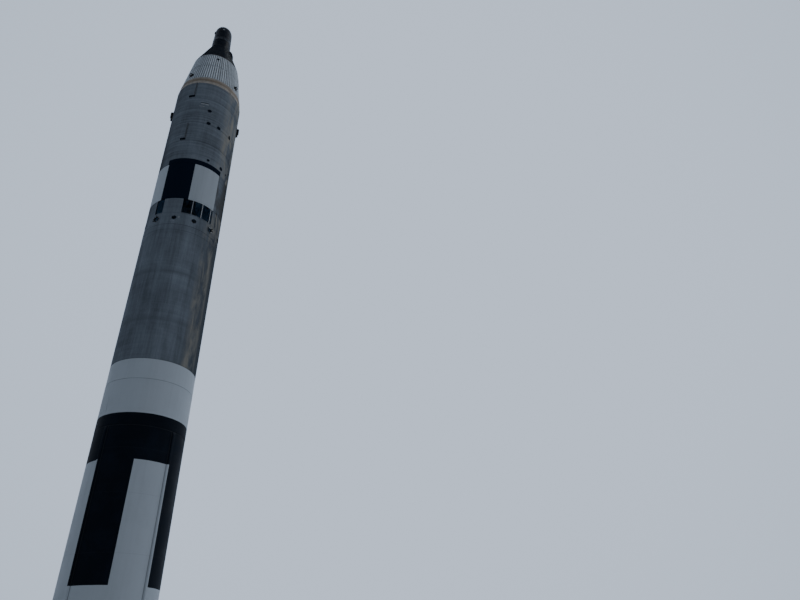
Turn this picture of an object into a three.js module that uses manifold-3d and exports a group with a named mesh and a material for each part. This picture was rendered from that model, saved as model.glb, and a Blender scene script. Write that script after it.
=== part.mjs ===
// Two-stage crewed space rocket, 33.2 m tall and 3.05 m across, at full size.
//
// Millimetres, +Z up. The origin is on the vehicle's axis in the hold-down plane, which is the
// lower edge of the tail skirt. -Y faces the side with the paint sectors' middle line.
// An azimuth is in degrees from -Y towards +X, so +X is at 90 and the crew's hatches are at 180.

import * as THREE from 'three';
import { mergeVertices } from 'three/addons/utils/BufferGeometryUtils.js';
import Module from 'manifold-3d';

const wasm = await Module();
wasm.setup();

// Heights of the joints between sections, from the hold-down plane up.
const NOZZLE_EXIT = -1520;
const TAIL_SKIRT_TOP = 1300;
const FUEL_TANK_TOP = 8120;
const BETWEEN_TANKS_TOP = 9820;
const OXIDIZER_TANK_TOP = 16700;
const INTERSTAGE_TOP = 18070;
const UPPER_SKIRT_TOP = 20120;
const UPPER_FUEL_TOP = 21510;
const UPPER_BETWEEN_TOP = 22680;
const UPPER_OXIDIZER_TOP = 24300;
const FORWARD_SKIRT_TOP = 25400;
const MATING_RING_TOP = 25870;
const EQUIPMENT_TOP = 27050;
const ADAPTER_TOP = 28040;
const HEAT_SHIELD_TOP = 28110;
const CABIN_TOP = 29800;
const THRUSTER_SECTION_TOP = 30250;
const NOSE_SHOULDER = 31250;
const NOSE_TOP = 31400;
const TIP = 31680;

// Radii.
const BODY_RADIUS = 1524;
const MATING_RADIUS = 1465;
const CABIN_BASE_RADIUS = 1143;
const CABIN_NECK_RADIUS = 490;
const THRUSTER_SECTION_RADIUS = 485;
const NOSE_SHOULDER_RADIUS = 440;
const NOSE_RADIUS = 405;

// Walls, gaps and facets.
const SKIRT_WALL = 40;
const CABIN_WALL = 64;
const GAP = 0.3;
const ROUND = 48;
const BELL_ROUND = 24;
const SMALL_ROUND = 12;

// Windows and ports through the wall below the stage joint.
const VENT_COUNT = 21;
const BLANK_VENTS = [4, 5, 18, 19];
const VENT_FIRST = -6.5;
const VENT_PITCH = 15.786;
const VENT_WIDTH = 14.5;
const VENT_BOTTOM = 17330;
const VENT_HEIGHT = 740;
const PORT_COUNT = 12;
const PORT_FIRST = 15;
const PORT_HEIGHT = 17030;
const PORT_RADIUS = 100;

// Main engine: two thrust chambers on gimbals, side by side along X.
const CHAMBER_OFFSET = 750;
const PIVOT_HEIGHT = 330;
const YOKE_SEAT = 236;
const THROAT_HEIGHT = -430;
const BELL_EXIT_RADIUS = 575;
const BELL_WALL = 24;
const GIMBAL_PIN_RADIUS = 20;
const GIMBAL_LUG_INNER = 70;
const GIMBAL_LUG_OUTER = 100;

// Hatches, each hinged along the slanted line at its outer edge.
const HATCH_BOTTOM = 28330;
const HATCH_TOP = 29480;
const HATCH_TOP_GAP = 28;
const HATCH_INNER_EDGE = 2.5;
const HATCH_OUTER_EDGE = 46;
const HATCH_GAP_ANGLE = 0.6;
const HINGE_ANGLE = 47.3;
const HINGE_STANDOFF = 26;
const KNUCKLE_RADIUS = 18;
const KNUCKLE_PITCH = 330;

const CABIN_SLOPE = (CABIN_BASE_RADIUS - CABIN_NECK_RADIUS) / (CABIN_TOP - ADAPTER_TOP);

// Finishes: colour, roughness, metalness.
const FINISH = {
  whitePaint: [0xb9bfc4, 0.55, 0.0],
  blackPaint: [0x0a0d14, 0.5, 0.0],
  bareMetal: [0x6b747c, 0.45, 0.85],
  primer: [0x6f6658, 0.7, 0.1],
  ribbedWhite: [0x9aa3ab, 0.6, 0.05],
  engineMetal: [0x55585c, 0.4, 0.9],
  darkSteel: [0x2a2d31, 0.5, 0.8],
  heatShield: [0x5a4634, 0.9, 0.0],
  fabric: [0x77786f, 0.9, 0.0],
  glass: [0x1b2226, 0.1, 0.0],
};

function material(name) {
  const [color, roughness, metalness] = FINISH[name];
  return new THREE.MeshStandardMaterial({ color, roughness, metalness });
}

// A closed geometry as a solid that can be joined and cut.
function solid(geometry) {
  const bare = geometry.index ? geometry.toNonIndexed() : geometry.clone();
  bare.deleteAttribute('normal');
  bare.deleteAttribute('uv');
  const merged = mergeVertices(bare, 1e-3);
  const position = merged.attributes.position;
  const index = merged.index.array;
  const triangles = [];
  let volume = 0;
  const a = new THREE.Vector3();
  const b = new THREE.Vector3();
  const c = new THREE.Vector3();
  for (let i = 0; i < index.length; i += 3) {
    const [p, q, r] = [index[i], index[i + 1], index[i + 2]];
    if (p === q || q === r || r === p) continue;
    triangles.push(p, q, r);
    a.fromBufferAttribute(position, p);
    b.fromBufferAttribute(position, q);
    c.fromBufferAttribute(position, r);
    volume += a.dot(b.cross(c));
  }
  if (volume < 0) {
    for (let i = 0; i < triangles.length; i += 3) {
      [triangles[i], triangles[i + 1]] = [triangles[i + 1], triangles[i]];
    }
  }
  return new wasm.Manifold(new wasm.Mesh({
    numProp: 3,
    vertProperties: new Float32Array(position.array),
    triVerts: new Uint32Array(triangles),
  }));
}

function geometryOf(body) {
  const mesh = body.getMesh();
  const geometry = new THREE.BufferGeometry();
  const count = mesh.numProp;
  const points = new Float32Array((mesh.vertProperties.length / count) * 3);
  for (let i = 0; i < points.length / 3; i += 1) {
    points[3 * i] = mesh.vertProperties[count * i];
    points[3 * i + 1] = mesh.vertProperties[count * i + 1];
    points[3 * i + 2] = mesh.vertProperties[count * i + 2];
  }
  geometry.setAttribute('position', new THREE.BufferAttribute(points, 3));
  geometry.setIndex(new THREE.BufferAttribute(new Uint32Array(mesh.triVerts), 1));
  return geometry;
}

// A solid of revolution about Z from a list of [radius, height] pairs.
function turned(profile, segments = ROUND) {
  const points = profile.map(([radius, height]) => new THREE.Vector2(radius, height));
  return solid(new THREE.LatheGeometry(points, segments).rotateX(Math.PI / 2));
}

function barrel(radius, bottom, top) {
  return turned([[0, bottom], [radius, bottom], [radius, top - GAP], [0, top - GAP]]);
}

function tube(outer, inner, bottom, top, segments = ROUND) {
  return turned([
    [inner, bottom], [outer, bottom], [outer, top - GAP], [inner, top - GAP], [inner, bottom],
  ], segments);
}

// A box from its two opposite corners.
function block(low, high) {
  const size = high.map((value, axis) => value - low[axis]);
  const middle = high.map((value, axis) => (value + low[axis]) / 2);
  return solid(new THREE.BoxGeometry(...size).translate(...middle));
}

// A round bar of the given length whose middle is at the point, along a direction.
function bar(radius, length, point, direction, segments = SMALL_ROUND) {
  const turn = new THREE.Quaternion().setFromUnitVectors(
    new THREE.Vector3(0, 1, 0),
    new THREE.Vector3(...direction).normalize(),
  );
  const geometry = new THREE.CylinderGeometry(radius, radius, length, segments);
  return solid(geometry.applyQuaternion(turn).translate(...point));
}

// Unit vectors at an azimuth: outward and along the wall.
function outward(azimuth) {
  const angle = THREE.MathUtils.degToRad(azimuth - 90);
  return new THREE.Vector3(Math.cos(angle), Math.sin(angle), 0);
}

function alongWall(azimuth) {
  return outward(azimuth + 90);
}

function polar(azimuth, radius, height) {
  const point = outward(azimuth).multiplyScalar(radius);
  return [point.x, point.y, height];
}

// A wedge of the space around the axis between two azimuths, two heights and two radii.
function wedge(from, to, bottom, top, inner, outer) {
  const shape = new THREE.Shape();
  const steps = Math.max(2, Math.ceil((to - from) / 7.5));
  for (let i = 0; i <= steps; i += 1) {
    const [x, y] = polar(from + ((to - from) * i) / steps, outer, 0);
    if (i === 0) shape.moveTo(x, y);
    else shape.lineTo(x, y);
  }
  for (let i = steps; i >= 0; i -= 1) {
    const [x, y] = polar(from + ((to - from) * i) / steps, inner, 0);
    shape.lineTo(x, y);
  }
  shape.closePath();
  const geometry = new THREE.ExtrudeGeometry(shape, { depth: top - bottom, bevelEnabled: false });
  return solid(geometry.translate(0, 0, bottom));
}

// Turns a geometry with X outward, Y along the wall and Z up to an azimuth of the body.
function atAzimuth(body, azimuth) {
  return body.rotate([0, 0, azimuth - 90]);
}

const rocket = new THREE.Group();

function add(name, finish, body) {
  const mesh = new THREE.Mesh(geometryOf(body), material(finish));
  mesh.name = name;
  rocket.add(mesh);
}

// The open tail skirt, with a heavier ring at its lower edge and frames round its inside.
const SKIRT_FRAMES = [1000, 680, 330];
const FRAME_DEPTH = 64;
const FRAME_WIDTH = 34;
add('tail_skirt', 'whitePaint', turned([
  [BODY_RADIUS - 70, 0],
  [BODY_RADIUS, 0],
  [BODY_RADIUS, TAIL_SKIRT_TOP - GAP],
  [BODY_RADIUS - SKIRT_WALL, TAIL_SKIRT_TOP - GAP],
  ...SKIRT_FRAMES.flatMap((height) => [
    [BODY_RADIUS - SKIRT_WALL, height + FRAME_WIDTH],
    [BODY_RADIUS - SKIRT_WALL - FRAME_DEPTH, height + FRAME_WIDTH],
    [BODY_RADIUS - SKIRT_WALL - FRAME_DEPTH, height],
    [BODY_RADIUS - SKIRT_WALL, height],
  ]),
  [BODY_RADIUS - SKIRT_WALL, 120],
  [BODY_RADIUS - 70, 90],
  [BODY_RADIUS - 70, 0],
]));

// Hold-down feet outside the skirt: a base plate, a web and a strap up the wall.
const FOOT_AZIMUTHS = [0, 90, 180, 270];
const wallCutter = barrel(BODY_RADIUS + GAP, -10, TAIL_SKIRT_TOP);
FOOT_AZIMUTHS.forEach((azimuth, i) => {
  const foot = block([BODY_RADIUS - 60, -130, 0], [BODY_RADIUS + 110, 130, 35])
    .add(block([BODY_RADIUS - 60, -18, 0], [BODY_RADIUS + 80, 18, 300]))
    .add(block([BODY_RADIUS - 60, -90, 0], [BODY_RADIUS + 24, 90, 560]));
  add(`hold_down_foot_${i + 1}`, 'darkSteel', atAzimuth(foot, azimuth).subtract(wallCutter));
});

// Raceways that carry lines past the fuel tank, with sloped ends.
const RACEWAY_AZIMUTHS = [45, 135, 225, 315];
const RACEWAY_WIDTH = 165;
const RACEWAY_DEPTH = 52;
const RACEWAY_BOTTOM = 230;
RACEWAY_AZIMUTHS.forEach((azimuth, i) => {
  const side = new THREE.Shape();
  side.moveTo(BODY_RADIUS - 20, RACEWAY_BOTTOM);
  side.lineTo(BODY_RADIUS + 8, RACEWAY_BOTTOM);
  side.lineTo(BODY_RADIUS + RACEWAY_DEPTH, RACEWAY_BOTTOM + 160);
  side.lineTo(BODY_RADIUS + RACEWAY_DEPTH, FUEL_TANK_TOP - 160);
  side.lineTo(BODY_RADIUS + 8, FUEL_TANK_TOP);
  side.lineTo(BODY_RADIUS - 20, FUEL_TANK_TOP);
  side.closePath();
  const geometry = new THREE.ExtrudeGeometry(side, { depth: RACEWAY_WIDTH, bevelEnabled: false });
  geometry.translate(0, 0, -RACEWAY_WIDTH / 2).rotateX(Math.PI / 2);
  const cover = atAzimuth(solid(geometry), azimuth)
    .subtract(barrel(BODY_RADIUS + GAP, 0, FUEL_TANK_TOP + 100));
  add(`raceway_${i + 1}`, 'whitePaint', cover);
});

// Tanks are closed barrels. The fuel tank's aft dome hangs into the tail skirt.
const fuelTank = turned([
  [0, 760], [500, 800], [900, 900], [1200, 1060], [1400, TAIL_SKIRT_TOP - 60],
  [BODY_RADIUS - SKIRT_WALL - 12, TAIL_SKIRT_TOP],
  [BODY_RADIUS, TAIL_SKIRT_TOP],
  [BODY_RADIUS, FUEL_TANK_TOP - GAP],
  [0, FUEL_TANK_TOP - GAP],
]);
add('fuel_tank', 'whitePaint', fuelTank);
add('between_tanks', 'whitePaint', barrel(BODY_RADIUS, FUEL_TANK_TOP, BETWEEN_TANKS_TOP));

// The oxidizer tank's forward dome rises inside the wall that carries the second stage.
add('oxidizer_tank', 'bareMetal', turned([
  [0, BETWEEN_TANKS_TOP],
  [BODY_RADIUS, BETWEEN_TANKS_TOP],
  [BODY_RADIUS, OXIDIZER_TANK_TOP - GAP],
  [BODY_RADIUS - SKIRT_WALL - 12, OXIDIZER_TANK_TOP - GAP],
  [1250, OXIDIZER_TANK_TOP + 160],
  [900, OXIDIZER_TANK_TOP + 330],
  [500, OXIDIZER_TANK_TOP + 440],
  [0, OXIDIZER_TANK_TOP + 480],
]));

// The vented wall below the stage joint, and the ring of round ports that carries it. On each
// flank two places in the row of windows are plain wall.
const VENT_TOP = VENT_BOTTOM + VENT_HEIGHT;
let ventWall = tube(BODY_RADIUS, BODY_RADIUS - SKIRT_WALL, VENT_BOTTOM, INTERSTAGE_TOP + 60);
for (let i = 0; i < VENT_COUNT; i += 1) {
  if (BLANK_VENTS.includes(i)) continue;
  const from = VENT_FIRST + i * VENT_PITCH;
  ventWall = ventWall.subtract(wedge(
    from, from + VENT_WIDTH, VENT_BOTTOM - 20, VENT_TOP, BODY_RADIUS - 90, BODY_RADIUS + 60,
  ));
}
add('vent_wall', 'bareMetal', ventWall);
let interstage = tube(BODY_RADIUS, BODY_RADIUS - SKIRT_WALL, OXIDIZER_TANK_TOP, VENT_BOTTOM);
for (let i = 0; i < PORT_COUNT; i += 1) {
  const azimuth = PORT_FIRST + (i * 360) / PORT_COUNT;
  const direction = outward(azimuth).toArray();
  interstage = interstage.subtract(
    bar(PORT_RADIUS, 200, polar(azimuth, BODY_RADIUS - 20, PORT_HEIGHT), direction, 16),
  );
}
add('interstage', 'bareMetal', interstage);

// Thrust frame: two cross girders on a main girder, with a fork over each thrust chamber.
const FRAME_BOTTOM = 450;
const FRAME_TOP = 610;
const WALL_INSIDE = BODY_RADIUS - SKIRT_WALL;
let frame = block([-WALL_INSIDE, -90, FRAME_BOTTOM], [WALL_INSIDE, 90, FRAME_TOP]);
for (const side of [-1, 1]) {
  const x = side * CHAMBER_OFFSET;
  frame = frame.add(block([x - 90, -1400, FRAME_BOTTOM], [x + 90, 1400, FRAME_TOP]));
  for (const lug of [-1, 1]) {
    const near = x + lug * GIMBAL_LUG_INNER;
    const far = x + lug * GIMBAL_LUG_OUTER;
    frame = frame.add(block(
      [Math.min(near, far), -60, PIVOT_HEIGHT - 45],
      [Math.max(near, far), 60, FRAME_TOP - 20],
    ));
  }
  frame = frame.subtract(bar(GIMBAL_PIN_RADIUS + 0.5, 260, [x, 0, PIVOT_HEIGHT], [1, 0, 0]));
}
const skirtInside = turned([
  [0, 0], [WALL_INSIDE - GAP, 0], [WALL_INSIDE - GAP, TAIL_SKIRT_TOP], [0, TAIL_SKIRT_TOP],
]);
add('thrust_frame', 'darkSteel', frame.intersect(skirtInside));

// Each chamber: dome, injector flange, chamber, throat and a bell in a smooth flare, with hoops.
const BELL_HOOPS = [
  // share of the bell's length, depth, width
  [0.28, 16, 34],
  [0.52, 16, 34],
  [0.77, 14, 34],
  [1.0, 10, 60],
];

function bellRadius(share) {
  return 190 + (BELL_EXIT_RADIUS - 190) * (1 - (1 - share) ** 1.9);
}

function thrustChamber() {
  const outer = [[0, YOKE_SEAT], [110, YOKE_SEAT], [215, 195], [262, 110], [262, 60], [305, 60], [305, 10],
    [262, 10], [262, -230], [235, -310], [190, THROAT_HEIGHT]];
  const inner = [[168, THROAT_HEIGHT], [205, -310], [232, -230], [232, -20], [0, -20]];
  const steps = 6;
  for (let i = 1; i <= steps; i += 1) {
    const share = i / steps;
    const height = THROAT_HEIGHT + (NOZZLE_EXIT - THROAT_HEIGHT) * share;
    outer.push([bellRadius(share), height]);
    inner.unshift([bellRadius(share) - BELL_WALL, height]);
  }
  let chamber = turned([...outer, ...inner], BELL_ROUND);
  for (const [share, depth, width] of BELL_HOOPS) {
    const middle = THROAT_HEIGHT + (NOZZLE_EXIT - THROAT_HEIGHT) * share;
    const low = Math.max(NOZZLE_EXIT, middle - width / 2);
    const radius = bellRadius(share);
    chamber = chamber.add(turned([
      [radius - 12, low],
      [radius + depth, low],
      [radius + depth, middle + width / 2],
      [radius - 12, middle + width / 2],
      [radius - 12, low],
    ], BELL_ROUND));
  }
  return chamber;
}

// The yoke on a chamber's dome: a round plate with two lugs for the lower gimbal pin.
function chamberYoke() {
  let yoke = barrel(105, YOKE_SEAT + GAP, YOKE_SEAT + 26);
  for (const side of [-1, 1]) {
    const near = side * GIMBAL_LUG_INNER;
    const far = side * GIMBAL_LUG_OUTER;
    yoke = yoke.add(block(
      [-60, Math.min(near, far), YOKE_SEAT + GAP],
      [60, Math.max(near, far), PIVOT_HEIGHT + 45],
    ));
  }
  return yoke.subtract(bar(GIMBAL_PIN_RADIUS + 0.5, 260, [0, 0, PIVOT_HEIGHT], [0, 1, 0]));
}

const gimbalCross = block([-55, -55, PIVOT_HEIGHT - 40], [55, 55, PIVOT_HEIGHT + 40])
  .add(bar(GIMBAL_PIN_RADIUS, 196, [0, 0, PIVOT_HEIGHT], [1, 0, 0]))
  .add(bar(GIMBAL_PIN_RADIUS, 196, [0, 0, PIVOT_HEIGHT], [0, 1, 0]));

const SIDES = [['left', -1], ['right', 1]];
for (const [side, sign] of SIDES) {
  add(`gimbal_cross_${side}`, 'darkSteel', gimbalCross.translate([sign * CHAMBER_OFFSET, 0, 0]));
  add(`thrust_chamber_${side}`, 'engineMetal',
    thrustChamber().translate([sign * CHAMBER_OFFSET, 0, 0]));
  add(`chamber_yoke_${side}`, 'darkSteel',
    chamberYoke().translate([sign * CHAMBER_OFFSET, 0, 0]));
}

// Turbopumps sit on both sides of the main girder's middle, each with a neck up to the fuel tank's
// dome and an exhaust stack down.
const PUMPS = [['front', -1], ['rear', 1]];
const underTank = fuelTank.translate([0, 0, -GAP]);
for (const [place, sign] of PUMPS) {
  const y = sign * 430;
  const pump = bar(170, 340, [0, y, 480], [0, 0, 1], 20)
    .add(bar(200, 40, [0, y, 560], [0, 0, 1], 20))
    .add(bar(105, 240, [0, y, 740], [0, 0, 1], 20))
    .add(bar(110, 560, [0, y, 560], [1, 0, 0], SMALL_ROUND))
    .add(bar(135, 36, [265, y, 560], [1, 0, 0], SMALL_ROUND))
    .add(bar(135, 36, [-265, y, 560], [1, 0, 0], SMALL_ROUND))
    .add(block([-60, Math.min(sign * (90 + GAP), y), 500], [60, Math.max(sign * (90 + GAP), y), 600]))
    .subtract(underTank);
  add(`turbopump_${place}`, 'engineMetal', pump);
  const stack = turned([
    [0, 310 - GAP], [95, 310 - GAP], [95, -520], [150, -800], [138, -800], [83, -520], [83, 230],
    [0, 230],
  ], 20);
  add(`exhaust_stack_${place}`, 'darkSteel', stack.translate([0, y, 0]));
}

// The upper engine is one plain block hanging in the hollow skirt over the vents.
add('upper_engine', 'engineMetal', turned([
  [0, 17360], [790, 17360], [840, 17380], [620, 18000], [380, 18500], [300, 18900], [300, 19700 - GAP],
  [0, 19700 - GAP],
], BELL_ROUND));

const upperSkirt = turned([
  [BODY_RADIUS - SKIRT_WALL, INTERSTAGE_TOP + 60],
  [BODY_RADIUS, INTERSTAGE_TOP + 60],
  [BODY_RADIUS, UPPER_SKIRT_TOP - GAP],
  [0, UPPER_SKIRT_TOP - GAP],
  [0, 19700],
  [900, 19740],
  [1300, 19900],
  [BODY_RADIUS - SKIRT_WALL, 20020],
  [BODY_RADIUS - SKIRT_WALL, INTERSTAGE_TOP + 60],
]);
add('upper_aft_skirt', 'blackPaint', upperSkirt);

const UPPER_BARRELS = [
  // name, bottom, top
  ['upper_fuel_tank', UPPER_SKIRT_TOP, UPPER_FUEL_TOP],
  ['upper_between_tanks', UPPER_FUEL_TOP, UPPER_BETWEEN_TOP],
  ['upper_oxidizer_tank', UPPER_BETWEEN_TOP, UPPER_OXIDIZER_TOP],
  ['forward_skirt', UPPER_OXIDIZER_TOP, FORWARD_SKIRT_TOP],
];
for (const [name, bottom, top] of UPPER_BARRELS) {
  add(name, 'bareMetal', barrel(BODY_RADIUS, bottom, top));
}

// Two bent lines on the wall: a run up the wall with a foot to the left at its lower end.
const LINES = [
  // name, azimuth of the run, azimuth of the foot's end, bottom, top
  ['service_line_lower', -26.2, -34, 21540, 22600],
  ['service_line_upper', -26.2, -36, 24400, 25390],
];
const LINE_DEPTH = 55;
const fullWall = barrel(BODY_RADIUS + GAP, UPPER_SKIRT_TOP, MATING_RING_TOP);
for (const [name, run, foot, bottom, top] of LINES) {
  const outer = BODY_RADIUS + LINE_DEPTH;
  const line = wedge(run - 1.1, run + 1.1, bottom, top, BODY_RADIUS - 30, outer)
    .add(wedge(foot, run + 1.1, bottom, bottom + 80, BODY_RADIUS - 30, outer))
    .subtract(fullWall);
  add(name, 'darkSteel', line);
}

// A stepped fitting on each flank of the upper stage, with a face above and a pad below.
const FLANKS = [['right', 87], ['left', -87]];
const FLANK_BOTTOM = 23820;
const FLANK_FACE_BOTTOM = 24000;
const FLANK_FACE_TOP = 24190;
const FLANK_TOP = 24262;
const FLANK_DEPTH = 140;
const FLANK_WIDTH = 190;
for (const [side, azimuth] of FLANKS) {
  const shape = new THREE.Shape();
  shape.moveTo(BODY_RADIUS - 40, FLANK_BOTTOM);
  shape.lineTo(BODY_RADIUS + 96, FLANK_BOTTOM);
  shape.lineTo(BODY_RADIUS + 96, FLANK_FACE_BOTTOM - 16);
  shape.lineTo(BODY_RADIUS + FLANK_DEPTH, FLANK_FACE_BOTTOM);
  shape.lineTo(BODY_RADIUS + FLANK_DEPTH, FLANK_FACE_TOP);
  shape.lineTo(BODY_RADIUS + FLANK_DEPTH - 22, FLANK_FACE_TOP + 44);
  shape.lineTo(BODY_RADIUS + FLANK_DEPTH - 60, FLANK_TOP);
  shape.lineTo(BODY_RADIUS - 40, FLANK_TOP);
  shape.closePath();
  const geometry = new THREE.ExtrudeGeometry(shape, { depth: FLANK_WIDTH, bevelEnabled: false });
  geometry.translate(0, 0, -FLANK_WIDTH / 2).rotateX(Math.PI / 2);
  add(`flank_fitting_${side}`, 'darkSteel', atAzimuth(solid(geometry), azimuth).subtract(fullWall));
}

function coneBand(bottom, top, lowRadius, highRadius) {
  return turned([[0, bottom], [lowRadius, bottom], [highRadius, top - GAP], [0, top - GAP]]);
}

const ADAPTER_SLOPE = (MATING_RADIUS - CABIN_BASE_RADIUS) / (ADAPTER_TOP - MATING_RING_TOP);
const equipmentTopRadius = MATING_RADIUS - ADAPTER_SLOPE * (EQUIPMENT_TOP - MATING_RING_TOP);
add('mating_ring', 'primer',
  coneBand(FORWARD_SKIRT_TOP, MATING_RING_TOP, BODY_RADIUS, MATING_RADIUS));
add('equipment_section', 'ribbedWhite',
  coneBand(MATING_RING_TOP, EQUIPMENT_TOP, MATING_RADIUS, equipmentTopRadius));
add('retrograde_section', 'ribbedWhite',
  coneBand(EQUIPMENT_TOP, ADAPTER_TOP, equipmentTopRadius, CABIN_BASE_RADIUS));

// Small thruster housings low on the equipment section.
const THRUSTER_AZIMUTHS = [-48, 52, 132, 228];
const THRUSTER_HEIGHT = 26290;
const equipmentWall = coneBand(
  MATING_RING_TOP - 200, EQUIPMENT_TOP, MATING_RADIUS + ADAPTER_SLOPE * 200 + GAP,
  equipmentTopRadius + GAP,
);
THRUSTER_AZIMUTHS.forEach((azimuth, i) => {
  const wall = MATING_RADIUS - ADAPTER_SLOPE * (THRUSTER_HEIGHT - MATING_RING_TOP);
  const housing = bar(90, 140, [wall, 0, THRUSTER_HEIGHT], [1, 0, -0.15])
    .subtract(bar(62, 60, [wall + 65, 0, THRUSTER_HEIGHT - 10], [1, 0, -0.15]));
  add(`attitude_thruster_${i + 1}`, 'darkSteel',
    atAzimuth(housing, azimuth).subtract(equipmentWall));
});

function cabinRadius(height) {
  return CABIN_BASE_RADIUS - CABIN_SLOPE * (height - ADAPTER_TOP);
}

add('heat_shield', 'heatShield', turned([
  [0, ADAPTER_TOP],
  [CABIN_BASE_RADIUS, ADAPTER_TOP],
  [cabinRadius(HEAT_SHIELD_TOP), HEAT_SHIELD_TOP - GAP],
  [0, HEAT_SHIELD_TOP - GAP],
]));

// The cabin's wall with its top bulkhead, open at the heat shield.
const BULKHEAD_BOTTOM = CABIN_TOP - 90;
const cabinShell = turned([
  [cabinRadius(HEAT_SHIELD_TOP) - CABIN_WALL, HEAT_SHIELD_TOP],
  [cabinRadius(HEAT_SHIELD_TOP), HEAT_SHIELD_TOP],
  [CABIN_NECK_RADIUS, CABIN_TOP - GAP],
  [0, CABIN_TOP - GAP],
  [0, BULKHEAD_BOTTOM],
  [cabinRadius(BULKHEAD_BOTTOM) - CABIN_WALL, BULKHEAD_BOTTOM],
  [cabinRadius(HEAT_SHIELD_TOP) - CABIN_WALL, HEAT_SHIELD_TOP],
]);

// The hinge's frame at the middle of a hatch's outer edge: across the hatch, outward, upward.
const SLOPE_ANGLE = Math.atan(CABIN_SLOPE);
const HINGE_MIDDLE = (HATCH_BOTTOM + HATCH_TOP) / 2;

function hingeMatrix(azimuth, across) {
  const radial = outward(azimuth);
  const up = new THREE.Vector3(0, 0, 1);
  const normal = radial.clone().multiplyScalar(Math.cos(SLOPE_ANGLE))
    .addScaledVector(up, Math.sin(SLOPE_ANGLE));
  const along = radial.clone().multiplyScalar(-Math.sin(SLOPE_ANGLE))
    .addScaledVector(up, Math.cos(SLOPE_ANGLE));
  const side = alongWall(azimuth).multiplyScalar(across);
  const point = new THREE.Vector3(...polar(azimuth, cabinRadius(HINGE_MIDDLE), HINGE_MIDDLE))
    .addScaledVector(normal, HINGE_STANDOFF);
  return new THREE.Matrix4().makeBasis(side, normal, along).setPosition(point);
}

function atHinge(geometry, matrix) {
  const placed = geometry.clone().applyMatrix4(matrix);
  return solid(placed);
}

function hingeBox(low, high, matrix) {
  const size = high.map((value, axis) => value - low[axis]);
  const middle = high.map((value, axis) => (value + low[axis]) / 2);
  return atHinge(new THREE.BoxGeometry(...size).translate(...middle), matrix);
}

function hingeBar(radius, from, to, matrix) {
  const geometry = new THREE.CylinderGeometry(radius, radius, to - from, SMALL_ROUND);
  return atHinge(geometry.rotateX(Math.PI / 2).translate(0, 0, (from + to) / 2), matrix);
}

// Hatches left and right of the azimuth 180, each with a window in its upper part.
const HATCHES = [
  // side, sign of the offset from azimuth 180
  ['right', -1],
  ['left', 1],
];
let cabin = cabinShell;
for (const [side, sign] of HATCHES) {
  const span = (inner, outer) => [180 + sign * inner, 180 + sign * outer].sort((a, b) => a - b);
  const [openFrom, openTo] = span(
    HATCH_INNER_EDGE - HATCH_GAP_ANGLE, HATCH_OUTER_EDGE + HATCH_GAP_ANGLE,
  );
  cabin = cabin.subtract(wedge(openFrom, openTo, HATCH_BOTTOM - 8, HATCH_TOP + HATCH_TOP_GAP, 100, 1300));

  const [from, to] = span(HATCH_INNER_EDGE, HATCH_OUTER_EDGE);
  let hatch = cabinShell.intersect(wedge(from, to, HATCH_BOTTOM, HATCH_TOP, 100, 1300));
  const hinge = hingeMatrix(180 + sign * HINGE_ANGLE, -sign);
  for (const place of [-KNUCKLE_PITCH, KNUCKLE_PITCH]) {
    hatch = hatch
      .add(hingeBar(KNUCKLE_RADIUS, place - 45, place + 45, hinge))
      .add(hingeBox([0, -20, place - 45], [30, -4, place + 45], hinge))
      .add(hingeBox([26, -52, place - 45], [80, -4, place + 45], hinge))
      .subtract(hingeBar(9, place - 60, place + 60, hinge));
    cabin = cabin.add(hingeBar(8, place - 100, place + 100, hinge));
    for (const end of [-74, 74]) {
      cabin = cabin
        .add(hingeBar(KNUCKLE_RADIUS, place + end - 24, place + end + 24, hinge))
        .add(hingeBox([-80, -50, place + end - 24], [0, -6, place + end + 24], hinge));
    }
  }

  const windowAzimuth = 180 + sign * 22;
  const windowHeight = 29120;
  const windowFrame = hingeMatrix(windowAzimuth, -sign);
  const radial = outward(windowAzimuth);
  const centre = new THREE.Vector3(...polar(windowAzimuth, cabinRadius(windowHeight), windowHeight));
  windowFrame.setPosition(centre);
  const outline = (inset) => {
    const shape = new THREE.Shape();
    shape.moveTo(-120 + inset, -100 + inset);
    shape.lineTo(120 - inset, -100 + inset);
    shape.absarc(0, -70, 120 - inset, 0, Math.PI, false);
    return shape;
  };
  const prism = (inset, low, high) => {
    const options = { depth: high - low, bevelEnabled: false, curveSegments: 10 };
    const geometry = new THREE.ExtrudeGeometry(outline(inset), options);
    geometry.translate(0, 0, low).rotateX(Math.PI / 2).scale(1, -1, -1);
    return solid(geometry.applyMatrix4(windowFrame));
  };
  hatch = hatch.subtract(prism(0, -120, 80));
  add(`hatch_${side}`, 'blackPaint', hatch);
  add(`window_${side}`, 'glass', prism(0.5, -34, -16));
}
add('cabin_shell', 'blackPaint', cabin);

// Crew seats lie on their backs, heads towards the hatches.
let seats = turned([[0, HEAT_SHIELD_TOP], [1035, HEAT_SHIELD_TOP], [1030, 28145], [0, 28145]]);
for (const sign of [-1, 1]) {
  const [near, far] = [sign * 60, sign * 480].sort((a, b) => a - b);
  seats = seats
    .add(block([near, -260, 28140], [far, 420, 28260]))
    .add(block([near, -340, 28140], [far, -260, 28680]))
    .add(block([near + 110, 420, 28140], [far - 110, 560, 28330]));
}
seats = seats.add(block([-40, -300, 28140], [40, 300, 28400]));
add('crew_seats', 'fabric', seats);

add('thruster_section', 'blackPaint',
  barrel(THRUSTER_SECTION_RADIUS, CABIN_TOP, THRUSTER_SECTION_TOP));
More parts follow.
